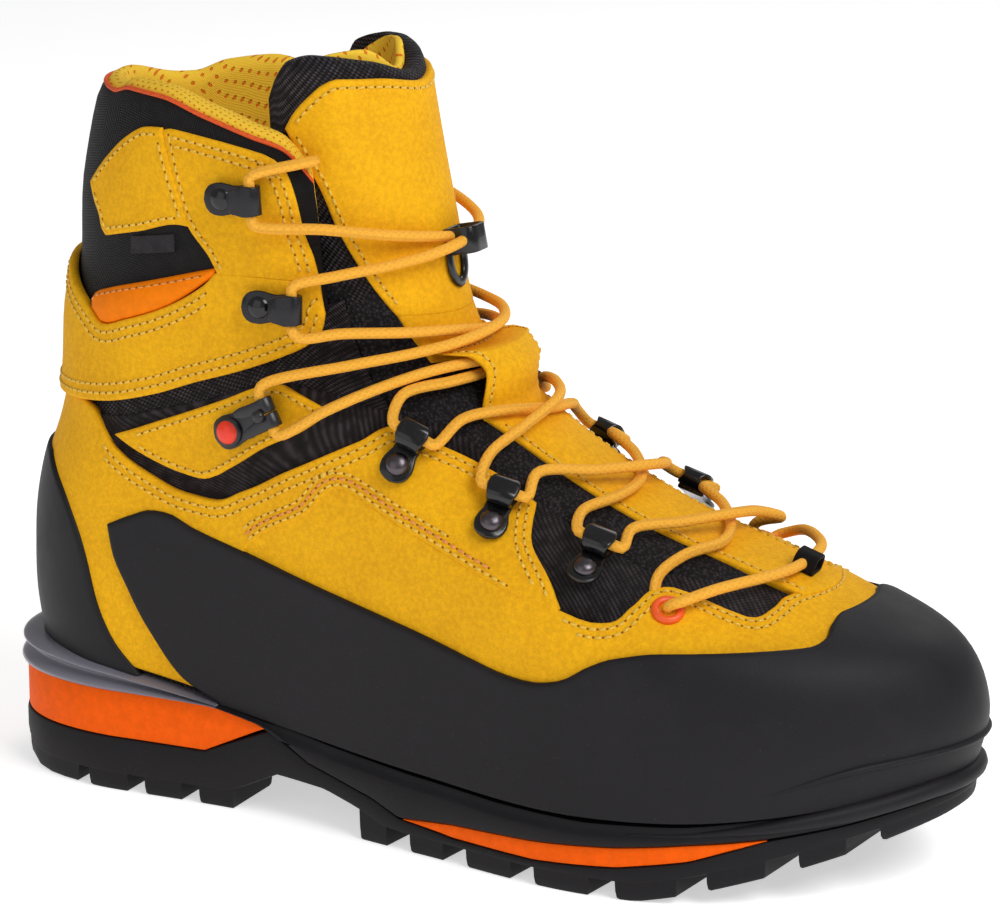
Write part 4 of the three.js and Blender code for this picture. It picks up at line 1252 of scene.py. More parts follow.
@dataclass
class FootUpper:
    """Cloth inner boot, leather vamp and quarters, ankle patches and rubber rands."""

    stitches: Stitching = field(default_factory=partial(Stitching, "foot_stitches", Body.FOOT))
    seam_stitches: Stitching = field(
        default_factory=partial(Stitching, "seam_stitches", Body.FOOT, Finishes.SEAM_THREAD))

    def cloth(self) -> None:
        """The black inner boot and the stretch gusset over the ankle's flex line."""
        low, high = [(0.0, 0.0), (2.0, 0.0)], both(FLEX_LOW) + [(2.0, FLEX_LOW[0][1])]
        sock = Patch(low, high, -2.6, -0.3, loop=True, step=3.5, rolled="top")
        Workshop.piece("inner_boot_cloth", sock.form(), Body.FOOT, Finishes.CLOTH, ["foot_textile"])
        low = round_heel([(u, v - 0.03) for u, v in FLEX_LOW if u < 0.72])
        high = round_heel([(u, v + 0.03) for u, v in FLEX_HIGH if u < 0.72])
        low[0], low[-1], high[0], high[-1] = (-0.72, 0.63), (0.72, 0.63), (-0.72, 0.82), (0.72, 0.82)
        gusset = Patch(low, high, -2.6, -0.9, step=3.5, rolled="")
        Workshop.piece("ankle_stretch_cloth", gusset.form(), HEEL_FLEX, Finishes.CLOTH, ["ankle_gusset"])

    def vamp(self) -> None:
        """The leather over the forefoot, tucked under the quarters at the seam."""
        tucked = [(u, v + 0.02) for u, v in SEAM]
        edge = [(0.36, 0.31)] + tucked + [(0.645, 0.332), (0.655, 0.318), (0.668, 0.304), (0.682, 0.306),
                                          (0.72, 0.343), (0.766, 0.383), (0.787, 0.389), (0.797, 0.378),
                                          (0.805, 0.345), (0.816, 0.322), (0.853, 0.338), (0.895, 0.358),
                                          (0.94, 0.364), (1.0, 0.365)]
        vamp = Patch([(0.36, 0.01), (1.64, 0.01)], both(edge), -1.2, 1.3, step=2.4, rolled="top")
        Workshop.piece("vamp_leather", vamp.form(), Body.FOOT, Finishes.NUBUCK, ["vamp"])
        for depth in (2.0, 4.3):
            line = vamp.inset("top", depth)
            self.stitches.row(line[(line[:, 0] > 0.643) & (line[:, 0] < 1.357)])

    @staticmethod
    def thinned(u: Array, v: Array) -> Array:
        """How the quarter thins at its lower corner, where it meets the vamp's edge."""
        near = np.where(np.mod(u, 2) > 1, 2 - np.mod(u, 2), np.mod(u, 2))
        return -0.55 * np.exp(-(((near - 0.648) / 0.022) ** 2) - ((v - 0.325) / 0.035) ** 2)

    def quarter(self, side: Side) -> None:
        """A leather quarter from the heel to the throat, with the curved seam and the ankle notch."""
        low = [(0.0, 0.01), (0.34, 0.01)] + list(SEAM) + [(0.64, 0.314), (0.65, 0.32), (0.664, 0.356),
                                                          (0.707, 0.454), (0.75, 0.503), (0.787, 0.534)]
        high = [(0.0, 0.575), (0.2, 0.575), (0.232, 0.566), (0.25, 0.528), (0.269, 0.494), (0.311, 0.45),
                (0.344, 0.424), (0.373, 0.42), (0.415, 0.457), (0.49, 0.526), (0.574, 0.582),
                (0.636, 0.614), (0.707, 0.643), (0.745, 0.618), (0.77, 0.597), (0.787, 0.57)]

        panel = partial(Patch, inner=-0.6, outer=1.75, step=2.4, extra=self.thinned)
        patch = sided(panel, side, bottom=low, top=high)
        Workshop.piece(f"quarter_leather_{side.value}", patch.form(), Body.FOOT, Finishes.NUBUCK,
                       [f"quarter_{side.value}"])
        self.rows(patch, side, "top", (2.3, 4.8), 0.245, 0.775)
        self.rows(patch, side, "bottom", (2.2, 4.6), 0.647, 0.782)
        self.rows(patch, side, "bottom", (1.6, 5.0), 0.392, 0.638)
        self.rows(patch, side, "bottom", (3.3,), 0.392, 0.638, self.seam_stitches)

    def rows(self, patch: Patch, side: Side, edge: str, depths: Sequence[float], low: float, high: float,
             stitches: Optional[Stitching] = None) -> None:
        """Rows inside an edge, between two places on the given side."""
        for depth in depths:
            line = patch.inset(edge, depth)
            u = np.mod(line[:, 0], 2)
            place = np.where(u > 1, 2 - u, u) if side is Side.MEDIAL else u
            (stitches or self.stitches).row(line[(place > low) & (place < high)])

    def ankle_patch(self, side: Side) -> None:
        """The pointed leather patch that carries the lock hook."""
        low = [(0.273, 0.522), (0.315, 0.489), (0.348, 0.471), (0.372, 0.466), (0.395, 0.482),
               (0.415, 0.503), (0.486, 0.568), (0.56, 0.614), (0.624, 0.655)]
        high = [(0.273, 0.526), (0.36, 0.583), (0.461, 0.639), (0.55, 0.681), (0.574, 0.686),
                (0.599, 0.674), (0.624, 0.659)]

        panel = partial(Patch, inner=-0.9, outer=1.5, step=2.0, rolled="bottom top")
        patch = sided(panel, side, bottom=low, top=high)
        Workshop.piece(f"ankle_patch_leather_{side.value}", patch.form(), Body.FOOT, Finishes.NUBUCK,
                       [f"ankle_patch_{side.value}"])
        self.rows(patch, side, "top", (2.0,), 0.30, 0.605)
        self.rows(patch, side, "bottom", (2.0,), 0.30, 0.605)

    def rands(self) -> None:
        """The moulded rubber round the forefoot and the cap round the heel."""
        left = [(0.334, 0.0), (0.305, 0.022), (0.279, 0.093), (0.262, 0.167), (0.25, 0.259), (0.25, 0.318)]
        top = [(0.25, 0.318), (0.277, 0.347), (0.307, 0.37), (0.319, 0.37), (0.344, 0.343), (0.39, 0.306),
               (0.432, 0.269), (0.469, 0.241), (0.515, 0.208), (0.545, 0.187), (0.565, 0.176),
               (0.585, 0.172), (0.607, 0.181), (0.636, 0.213), (0.66, 0.233), (0.7, 0.247), (0.76, 0.248),
               (0.82, 0.25), (0.849, 0.264), (0.879, 0.29), (0.92, 0.31), (1.0, 0.316)]
        right = opposite(left)

        def thicker(u: Array, v: Array) -> Array:
            """How the rand thickens low down towards the toe."""
            return 1.2 * ease(0.62, 0.8, np.minimum(u, 2 - u)) * (1 - ease(0.2, 0.36, v))

        rand = Patch([(0.334, 0.0), (1.666, 0.0)], both(top), -0.8, 3.1, left, right, roll=1.2, step=2.6,
                     rolled="top left right", extra=thicker)
        Workshop.piece("forefoot_rand", rand.form(), Body.FOOT, Finishes.RAND, ["rubber_rand"])
        edge = [(0.262, 0.0), (0.238, 0.056), (0.223, 0.139), (0.211, 0.269), (0.186, 0.352), (0.15, 0.4),
                (0.12, 0.424)]
        cap = Patch([(-0.262, 0.0), (0.262, 0.0)], round_heel([(0.0, 0.432), (0.06, 0.43), (0.12, 0.424)]),
                    -0.8, 2.9, [(-u, v) for u, v in edge], edge, roll=1.1, step=2.6, rolled="top left right")
        Workshop.piece("heel_cap_rand", cap.form(), Body.FOOT, Finishes.RAND, ["heel_rand"])

    def build(self) -> None:
        """Makes the upper on the foot and sews it."""
        self.cloth()
        self.vamp()
        for side in Side:
            self.quarter(side)
            self.ankle_patch(side)
        self.rands()
        self.stitches.sew()
        self.seam_stitches.sew()


# ---------------------------------------------------------------- cuff
def ring_along(u: Array, v: Array, lift: Array) -> Form:
    """A closed profile of [level, lift] places carried along u, with its ends closed by fans."""
    points = LAST.at(np.broadcast_to(u[:, None], v.shape), v, lift)
    n, m = v.shape
    j = np.arange(m)
    fans = [np.stack([np.full(m, n * m), (j + 1) % m, j], 1),
            np.stack([np.full(m, n * m + 1), (n - 1) * m + j, (n - 1) * m + (j + 1) % m], 1)]
    run = np.concatenate([np.zeros((1, m)), np.cumsum(np.linalg.norm(np.diff(points, axis=0), axis=-1), 0)])
    rise = np.concatenate([np.zeros((n, 1)), np.cumsum(np.linalg.norm(np.diff(points, axis=1), axis=-1), 1)],
                          1)
    cloth = np.stack([run, rise], -1).reshape(-1, 2) / 1000
    ends = np.concatenate([points[:1].mean(1), points[-1:].mean(1)])
    return Form(np.concatenate([points.reshape(-1, 3), ends]),
                as_faces(grid_faces(n, m, False, True, turned=True), *fans),
                np.concatenate([cloth, cloth[:1], cloth[-1:]]))


@dataclass
class Cuff:
    """Padded cloth collar with its rolled lining, leather band, front strips, tabs and orange inserts."""

    top: Line = ((0, 1.03), (0.23, 1.032), (0.298, 1.046), (0.39, 1.048), (0.495, 1.03), (0.582, 1.014),
                 (0.636, 1.004), (0.661, 0.99), (0.69, 0.965))
    stitches: Stitching = field(default_factory=partial(Stitching, "cuff_stitches", Body.CUFF))
    pale: Stitching = field(
        default_factory=partial(Stitching, "insert_stitches", Body.CUFF, Finishes.SEAM_THREAD, radius=0.3))
    end: float = 0.69

    def rim(self, u: Array) -> Array:
        """The collar's top level, which dips behind the inner ankle."""
        pairs = np.array(self.top)
        inner = ease(0.0, 0.2, -u) * (1 - ease(0.2, 0.46, -u))
        return gentle(pairs[:, 0], pairs[:, 1], np.abs(u)) - 0.02 * inner

    def collar(self) -> None:
        """Three closed profiles carried round the collar: cloth, piping and lining."""
        u = np.linspace(-self.end, self.end, 190)
        rim, flex = self.rim(u), gentle(*np.array(FLEX_HIGH).T, np.abs(u))
        low = flex + 0.015
        share = np.linspace(0, 1, 16)
        face = low[:, None] + (rim[:, None] - 0.03 - low[:, None]) * share
        soft = -0.35 + 1.5 * ease(0.78, 0.9, face) - 0.5 * ease(0.97, 1.04, face)
        edge_v = np.array([-0.021, -0.012, -0.004, -0.001, -0.004, -0.02])
        edge_lift = np.array([0.55, 0.2, -0.5, -1.4, -2.2, -2.7])
        v = np.concatenate([face, rim[:, None] + edge_v, low[:, None] + 0 * share[:1]], 1)
        lift = np.concatenate([soft, np.broadcast_to(edge_lift, (len(u), 6)), np.full((len(u), 1), -2.7)], 1)
        Workshop.piece("collar_cloth", ring_along(u, v[:, ::-1], lift[:, ::-1]), Body.CUFF, Finishes.RIPSTOP,
                       ["cuff_textile"])
        low = flex - 0.01
        inside = (rim - 0.024)[:, None] + (low - rim + 0.024)[:, None] * np.linspace(0, 1, 14)
        roll = np.linspace(-0.15, 1.0, 10) * np.pi
        over_v, over_lift = 0.024 * np.sin(roll) - 0.009, -4.6 + 3.5 * np.cos(roll)
        v = np.concatenate([rim[:, None] + over_v, inside, (low + 0.004)[:, None], (rim - 0.03)[:, None]], 1)
        lift = np.concatenate([over_lift, np.full(14, -8.1), [-6.9, -4.0]])
        Workshop.piece("collar_lining_roll", ring_along(u, v[:, ::-1],
                                                        np.broadcast_to(lift, v.shape)[:, ::-1]),
                       Body.CUFF, Finishes.LINING, ["collar_lining", "collar_padding"])
        u = np.linspace(-self.end, self.end, 170)
        path = LAST.at(u, self.rim(u) - 0.003, np.full(len(u), -0.7))
        piping = sweep(path, LAST.normal(u, self.rim(u)), np.array([0, 0, 1.0]), oval(0.75, 0.75, 8))
        Workshop.piece("collar_piping", piping, Body.CUFF, Finishes.PIPING)

    def band(self) -> None:
        """The leather band that wraps the back of the ankle, standing proud at the heel."""
        low = [(0, 0.558), (0.1, 0.56), (0.16, 0.566), (0.257, 0.588), (0.357, 0.626), (0.43, 0.66),
               (0.52, 0.697), (0.595, 0.73), (0.64, 0.752), (0.672, 0.776), (0.684, 0.8)]
        high = [(0, 0.79), (0.1, 0.782), (0.125, 0.774), (0.18, 0.757), (0.244, 0.735), (0.277, 0.72),
                (0.332, 0.737), (0.411, 0.769), (0.49, 0.815), (0.513, 0.834), (0.6, 0.84), (0.684, 0.843)]

        def proud(u: Array, v: Array) -> Array:
            """How far the band stands off the heel."""
            return 2.3 * (1 - ease(0.12, 0.34, np.abs(u))) * (1 - 0.5 * ease(0.7, 0.8, v))

        band = Patch(round_heel(low), round_heel(high), -0.9, 1.8, step=2.6, extra=proud)
        Workshop.piece("cuff_band_leather", band.form(), Body.CUFF, Finishes.NUBUCK, ["cuff_leather"])
        for depth in (2.5, 5.2):
            self.stitches.row(band.inset("bottom", depth)[4:-4])
            line = band.inset("top", depth)
            for sign in (1, -1):
                self.stitches.row(line[(sign * line[:, 0] > 0.02) & (sign * line[:, 0] < 0.5)])

    def side(self, side: Side) -> None:
        """Front strip, tab, orange insert and small woven label of one side."""
        leather = partial(Patch, inner=-0.9, outer=1.8, step=2.4, rolled="left right top")
        tab_leather = partial(Patch, inner=0.4, outer=2.3, step=2.2)
        padded = partial(Patch, inner=-0.6, outer=1.2, step=1.6, roll=1.0, puff=1.8, puff_width=3.5)
        name = side.value
        strip = sided(leather, side, bottom=[(0.512, 0.832), (0.6, 0.839), (0.684, 0.841)],
                      top=[(0.41, 1.0), (0.43, 1.004), (0.52, 1.0), (0.603, 0.992), (0.625, 0.986)],
                      left=[(0.512, 0.832), (0.5, 0.85), (0.462, 0.885), (0.41, 1.0)],
                      right=[(0.684, 0.841), (0.678, 0.87), (0.666, 0.9), (0.658, 0.94), (0.645, 0.972),
                             (0.625, 0.986)])
        Workshop.piece(f"cuff_front_leather_{name}", strip.form(), Body.CUFF, Finishes.NUBUCK)
        front, back = ("right", "left") if side is Side.LATERAL else ("left", "right")
        self.stitches.edge(strip, front, (2.3, 4.8), 1.5)
        self.stitches.edge(strip, "top", (2.3, 4.8), 1.5)
        self.stitches.edge(strip, back, (2.3,), 1.0)
        tab = sided(tab_leather, side, bottom=[(0.29, 0.845), (0.37, 0.864), (0.453, 0.884), (0.47, 0.884)],
                    top=[(0.216, 0.903), (0.27, 0.943), (0.328, 0.98), (0.37, 0.998), (0.41, 1.003)],
                    left=[(0.29, 0.845), (0.276, 0.852), (0.268, 0.864), (0.24, 0.884), (0.216, 0.903)],
                    right=[(0.47, 0.884), (0.44, 0.94), (0.41, 1.003)])
        Workshop.piece(f"cuff_tab_leather_{name}", tab.form(), Body.CUFF, Finishes.NUBUCK,
                       [f"cuff_tab_{name}"])
        for edge in ("bottom", "top", "left", "right"):
            self.stitches.edge(tab, edge, (2.1,), 1.9)
        insert = sided(padded, side,
                       bottom=[(0.242, 0.735), (0.277, 0.72), (0.332, 0.737), (0.411, 0.769), (0.508, 0.829)],
                       top=[(0.242, 0.75), (0.256, 0.762), (0.285, 0.772), (0.4, 0.806), (0.508, 0.838)],
                       left=[(0.242, 0.735), (0.242, 0.75)], right=[(0.508, 0.829), (0.508, 0.838)])
        Workshop.piece(f"orange_insert_{name}", insert.form(), Body.CUFF, Finishes.PAD,
                       [f"cuff_insert_{name}"])
        self.pale.edge(insert, "top", (1.5,), 1.0)
        label = sided(partial(Patch, inner=0.3, outer=1.35, step=2.0, roll=0.3), side,
                      bottom=[(0.352, 0.832), (0.438, 0.848)], top=[(0.352, 0.855), (0.438, 0.871)])
        Workshop.piece(f"woven_label_{name}", label.form(), Body.CUFF, Finishes.LABEL)

    def build(self) -> None:
        """Makes the cuff and sews it."""
        self.collar()
        self.band()
        for side in Side:
            self.side(side)
        self.stitches.sew()
        self.pale.sew()


# ---------------------------------------------------------------- tongue
@dataclass
class Tongue:
    """Padded tongue with its leather shield, the loop over its bend and the strip to the toe."""

    loop_v: Sequence[float] = (0.655, 0.668, 0.68, 0.692, 0.7, 0.728, 0.737, 0.743, 0.752)
    loop_lift: Sequence[float] = (-0.8, 1.0, 5.0, 8.2, 8.8, 8.8, 6.0, 2.0, -0.8)

    @staticmethod
    def tucked(u: Array, v: Array) -> Array:
        """How far the tongue's sides pass inside the collar."""
        return -7.0 * (1 - ease(0.62, 0.76, np.minimum(np.mod(u, 2), 2 - np.mod(u, 2))))

    @staticmethod
    def sunk(u: Array, v: Array) -> Array:
        """How far the bend's sides pass under the gusset."""
        return -2.4 * (1 - ease(0.68, 0.8, np.minimum(np.mod(u, 2), 2 - np.mod(u, 2))))

    def upper(self) -> None:
        """The padded cloth, its lining and the shield, given the Bend at the tip, which does not bend them.
        """
        low = both([(0.6, 0.86), (0.64, 0.82), (0.74, 0.8), (1.0, 0.79)])
        high = both([(0.6, 1.06), (0.62, 1.09), (0.653, 1.115), (0.72, 1.128), (0.84, 1.122), (1.0, 1.105)])
        pad = Patch(low, high, -7.0, -1.7, roll=2.4, step=3.0, extra=self.tucked, puff=0.9, puff_width=7)
        Workshop.piece("tongue_padding", pad.form(), TIP_FLEX, Finishes.CLOTH, ["tongue_pad", "tongue_tip"])
        lining = Patch(both([(0.66, 0.84), (1.0, 0.8)]), both([(0.66, 1.09), (0.7, 1.112), (0.76, 1.13),
                                                             (0.85, 1.136), (1.0, 1.11)]),
                       -9.4, -7.2, roll=0.9, step=3.0, extra=self.tucked)
        Workshop.piece("tongue_lining", lining.form(), TIP_FLEX, Finishes.LINING)
        left = [(0.81, 0.8), (0.799, 0.811), (0.757, 0.857), (0.724, 0.903), (0.699, 0.955), (0.66, 1.0),
                (0.64, 1.024)]
        top = [(0.64, 1.024), (0.66, 1.046), (0.7, 1.076), (0.728, 1.092), (0.757, 1.099), (0.84, 1.099),
               (1.0, 1.09)]
        shield = Patch([(0.81, 0.8), (1.19, 0.8)], both(top), -2.2, 0.5, left, opposite(left),
                       step=2.6, extra=self.tucked)
        Workshop.piece("tongue_shield_leather", shield.form(), TIP_FLEX, Finishes.NUBUCK,
                       ["tongue_shield", "tongue_tip_shield"])
        stitches = Stitching("tongue_stitches", TIP_FLEX)
        for edge in ("left", "right", "top"):
            stitches.edge(shield, edge, (2.4,), 2.0)
        stitches.sew()

    def bend(self) -> None:
        """The part that bends at the ankle: cloth, the leather over it and the raised loop."""
        pad = Patch(both([(0.655, 0.64), (0.74, 0.62), (1.0, 0.615)]),
                    both([(0.655, 0.86), (0.74, 0.83), (1.0, 0.83)]),
                    -7.0, -1.3, roll=1.6, step=3.0, rolled="left right", puff=0.8, extra=self.sunk)
        Workshop.piece("tongue_bend_cloth", pad.form(), FRONT_FLEX, Finishes.LOOPS, ["tongue_bend"])
        left = [(0.84, 0.735), (0.835, 0.75), (0.822, 0.775), (0.803, 0.815)]
        cover = Patch([(0.84, 0.735), (1.16, 0.735)], [(0.803, 0.815), (1.197, 0.815)], -1.6, 0.2, left,
                      opposite(left), step=2.4)
        Workshop.piece("tongue_bend_leather", cover.form(), FRONT_FLEX, Finishes.NUBUCK)
        left = [(0.852, 0.65), (0.87, 0.668), (0.888, 0.69), (0.893, 0.705), (0.885, 0.722), (0.855, 0.74),
                (0.838, 0.758)]

        def raised(u: Array, v: Array) -> Array:
            """How the loop arches over the laces."""
            return np.interp(v, self.loop_v, self.loop_lift) * (1 - 1.2 * (u - 1) ** 2) + 0.8

        loop = Patch([(0.852, 0.65), (1.148, 0.65)], [(0.838, 0.758), (1.162, 0.758)], 0.0, 1.6, left,
                     opposite(left), step=1.6, extra=raised)
        Workshop.piece("tongue_lace_loop", loop.form(), FRONT_FLEX, Finishes.NUBUCK, ["tongue_loop"])
        stitches = Stitching("tongue_bend_stitches", FRONT_FLEX, pitch=2.6, length=1.9)
        for edge in ("left", "right"):
            stitches.edge(loop, edge, (1.9,), 1.5)
        stitches.edge(loop, "top", (1.8,), 1.5)
        stitches.sew()

    def lower(self) -> None:
        """The padded cloth and the leather strip under the laces."""
        pad = Patch(both([(0.79, 0.42), (0.86, 0.395), (1.0, 0.385)]), both([(0.79, 0.66), (1.0, 0.655)]),
                    -2.4, -0.4,
                    roll=1.8, step=2.8, puff=1.3, puff_width=6, rolled="left right bottom")
        Workshop.piece("tongue_foot_cloth", pad.form(), Body.FOOT, Finishes.LOOPS)
        left = [(0.915, 0.352), (0.905, 0.42), (0.892, 0.5), (0.882, 0.57), (0.87, 0.62), (0.852, 0.655)]
        strip = Patch([(0.915, 0.352), (1.085, 0.352)], [(0.852, 0.655), (1.148, 0.655)], -0.6, 2.1, left,
                      opposite(left), step=2.4)
        Workshop.piece("tongue_strip_leather", strip.form(), Body.FOOT, Finishes.NUBUCK, ["tongue_foot"])
        stitches = Stitching("tongue_strip_stitches", Body.FOOT)
        for edge in ("left", "right"):
            stitches.edge(strip, edge, (1.9,), 1.0)
        stitches.sew()

    def build(self) -> None:
        """Makes the tongue from the toe up."""
        self.lower()
        self.bend()
        self.upper()


# ---------------------------------------------------------------- lacing hardware
@dataclass(frozen=True)
class Place:
    """A frame on the skin: X towards a second place, Z outward."""

    origin: Array
    axes: Array

    @classmethod
    def on_skin(cls, u: float, v: float, u2: float, v2: float, lift: float) -> "Place":
        """The frame at the first place."""
        start, end = LAST.at(u, v, lift), LAST.at(u2, v2, lift)
        z = LAST.normal((u + u2) / 2, (v + v2) / 2)
        x = unit(end - start - z * np.dot(end - start, z))
        return cls(start, np.stack([x, np.cross(z, x), z]))

    def put(self, points: Array) -> Array:
        """Points of the frame, in the maker's millimetres."""
        return self.origin + np.asarray(points, float) @ self.axes

    def move(self, form: Form) -> Form:
        """A form made in the frame, put in place."""
        return Form(self.put(form.points), form.faces, form.cloth)


@dataclass
class Hardware:
    """Pulleys, hooks, lock hooks and eyelets, bent from strip on one set of frames."""

    width: float = 9.0
    lift: float = 2.9
    thick: float = 1.2
    bend: float = 4.0
    reach: float = 11.0
    lock_reach: float = 17.0
    pulleys: Sequence[tuple[float, float, float, float]] = (
        (0.661, 0.579, 0.724, 0.63), (0.695, 0.491, 0.765, 0.55), (0.72, 0.408, 0.795, 0.468))
    hooks: Sequence[tuple[float, float, float, float]] = ((0.586, 0.802, 0.65, 0.806),
                                                          (0.536, 0.931, 0.6, 0.938))
    lock: tuple[float, float, float, float] = (0.461, 0.593, 0.575, 0.66)
    eyelet: Pair = (0.749, 0.338)
    crisp: float = 55.0
    frames: dict[str, Place] = field(default_factory=dict)

    def __post_init__(self) -> None:
        """Sets out every clip's frame."""
        for side in Side:
            for kind, places in (("pulley", self.pulleys), ("hook", self.hooks)):
                for k, (u, v, u2, v2) in enumerate(places, 1):
                    name = f"{kind}_{k}_{side.value}"
                    self.frames[name] = Place.on_skin(side.turn(u), v, side.turn(u2), v2, self.lift)
            u, v, u2, v2 = self.lock
            self.frames[f"lock_{side.value}"] = Place.on_skin(side.turn(u), v, side.turn(u2), v2, self.lift)
            u, v = self.eyelet
            ring = Place.on_skin(side.turn(u), v, side.turn(u + 0.05), v + 0.03, 2.6)
            self.frames[f"grommet_{side.value}"] = ring

    def turn(self, reach: float, back: float, count: int = 16) -> Array:
        """The strip's inner line from under the foot of the clip round its end: straight, then a half
        circle, then straight back, in X and Z."""
        r = self.bend - self.thick
        angle = np.linspace(-np.pi / 2, np.pi / 2, count)
        arc = np.stack([reach + r * np.cos(angle), self.bend + r * np.sin(angle)], 1)
        x = np.concatenate([np.linspace(-5.3, -3.4, 8), np.linspace(-2.6, reach - 0.8, 10)])
        base = np.stack([x, np.full(len(x), self.thick)], 1)
        over = np.stack([np.linspace(reach - 0.8, back, 8), np.full(8, self.bend + r)], 1)
        return np.concatenate([base, arc, over])

    def ribbon(self, line: Array, half: Array, thick: float, closed: bool = False, rim: float = 0.4) -> Form:
        """A strip whose outer face lies its thickness off a line in X and Z."""
        path = np.column_stack([line[:, 0], np.zeros(len(line)), line[:, 1]])
        run = ring_run(path) if closed else unit(np.gradient(path, axis=0))
        across = np.array([0.0, 1.0, 0.0])
        out = np.cross(run, across)
        return sweep(path, across, out, rounded_bar(half, thick, rim), closed)

    def pulley(self) -> Form:
        """A closed loop like a flattened drop on a riveted foot: wide at its end, narrow at its foot."""
        r = self.bend - self.thick
        x0 = self.reach - 3.4
        right = np.linspace(-np.pi / 2, np.pi / 2, 12)
        left = np.linspace(np.pi / 2, 3 * np.pi / 2, 10)
        ring = np.concatenate([
            np.stack([self.reach + r * np.cos(right), self.bend + r * np.sin(right)], 1),
            np.stack([x0 + r * np.cos(left), self.bend + r * np.sin(left)], 1)])
        ring = even(np.concatenate([ring, ring[:1]]), 49)[:-1]
        half = np.interp(ring[:, 0], (4.8, 6.5, 9, 11, 12.3, 13.2, 13.8), (3.7, 4.3, 4.8, 4.7, 4.2, 3.6, 2.9))
        loop = self.ribbon(ring, half, self.thick + 0.1, closed=True, rim=0.6)
        x = np.concatenate([np.linspace(-5.4, -3.2, 9), np.linspace(-2.4, self.reach - 1.5, 14)])
        half = np.interp(x, (-5.4, -5.2, -4.6, -3.8, -2.6, -0.5, 1.5, 4, 6.5, 9.5),
                         (0.4, 1.5, 2.9, 3.9, 4.6, 5, 4.7, 3.9, 3.9, 4.5))
        foot = self.ribbon(np.stack([x, np.full(len(x), 1.5)], 1), half, -1.6, rim=0.6)
        return join([loop, self._upright(foot)])

    @staticmethod
    def _upright(form: Form) -> Form:
        """A form whose faces are turned if they face inward."""
        points = form.points
        total = 0.0
        for face in form.faces[:: max(1, len(form.faces) // 400)]:
            a, b, c = points[face[0]], points[face[1]], points[face[2]]
            total += float(np.dot(np.cross(b - a, c - a), (a + b + c) / 3 - points.mean(0)))
        return form if total > 0 else Form(points, [face[::-1] for face in form.faces], form.cloth)

    def hook(self) -> Form:
        """An open hook: a foot that narrows, a round end and a flared lip."""
        line = self.turn(self.reach, self.reach - 6.2)
        line[-3:, 1] += np.array([0.15, 0.45, 0.9])
        reach = along(line)
        half = np.interp(reach / reach[-1],
                         (0, 0.006, 0.02, 0.05, 0.1, 0.17, 0.23, 0.33, 0.42, 0.58, 0.68, 0.86, 0.97, 1),
                         (0.5, 1.6, 2.8, 4.0, 4.8, 5.0, 4.7, 3.9, 4.3, 4.5, 4.2, 4.6, 3.6, 2.4))
        return self._upright(self.ribbon(line, half, self.thick))

    def lock_hook(self) -> Form:
        """A heavier hook whose lip is two jaws with a notch between them."""
        x = np.concatenate([np.linspace(-5.4, -3.2, 9), np.linspace(-2.4, self.lock_reach - 1.0, 18)])
        half = np.interp(x, (-5.4, -5.2, -4.6, -3.8, -2.6, 0, 5, 9, 16),
                         (0.5, 1.7, 3.1, 4.2, 4.9, 5.2, 4.3, 4.5, 4.7))
        plate = self._upright(self.ribbon(np.stack([x, np.full(len(x), self.thick)], 1), half, -self.thick))
        line = self.turn(self.lock_reach, self.lock_reach - 9.5)[-27:]
        reach = along(line)
        share = reach / reach[-1]
        forms = [plate]
        for sign in (-1, 1):
            half = np.interp(share, (0, 0.5, 0.62, 0.9, 1), (2.2, 2.25, 2.0, 1.7, 0.9))
            jaw = self.ribbon(line, half, self.thick)
            drift = np.interp(share, (0, 0.5, 0.75, 1), (2.3, 2.4, 2.7, 3.5))
            moved = jaw.points.copy()
            moved[: len(line) * 12, 1] += sign * np.repeat(drift, 12)
            moved[len(line) * 12:, 1] += sign * drift[[0, -1]]
            forms.append(self._upright(Form(moved, jaw.faces, jaw.cloth)))
        crest = turned([(0, 7.4), (1.9, 7.4), (1.9, 8.4), (1.2, 9.0), (0, 9.1)], 16)
        crest.points[:, 0] += self.lock_reach - 1.2
        return join(forms + [crest])

    @staticmethod
    def dome(low: float, radius: float, high: float) -> Form:
        """A rivet's domed head."""
        tall = high - low
        return turned([(0, low), (radius, low), (radius, low + 0.25 * tall),
                       (radius * 0.96, low + 0.42 * tall),
                       (radius * 0.86, low + 0.62 * tall), (radius * 0.68, low + 0.82 * tall),
                       (radius * 0.42, low + 0.95 * tall), (radius * 0.15, high), (0, high)], 28)

    def rib(self) -> Form:
        """A raised chevron on a hook's foot."""
        path = np.array([[4.2, -3.0, 1.25], [5.8, -1.2, 1.35], [6.4, 0, 1.4], [5.8, 1.2, 1.35],
                         [4.2, 3.0, 1.25]])
        run = unit(np.gradient(path, axis=0))
        up = np.array([0, 0, 1.0])
        return sweep(path, unit(np.cross(up, run)), up, oval(0.45, 0.4, 8))

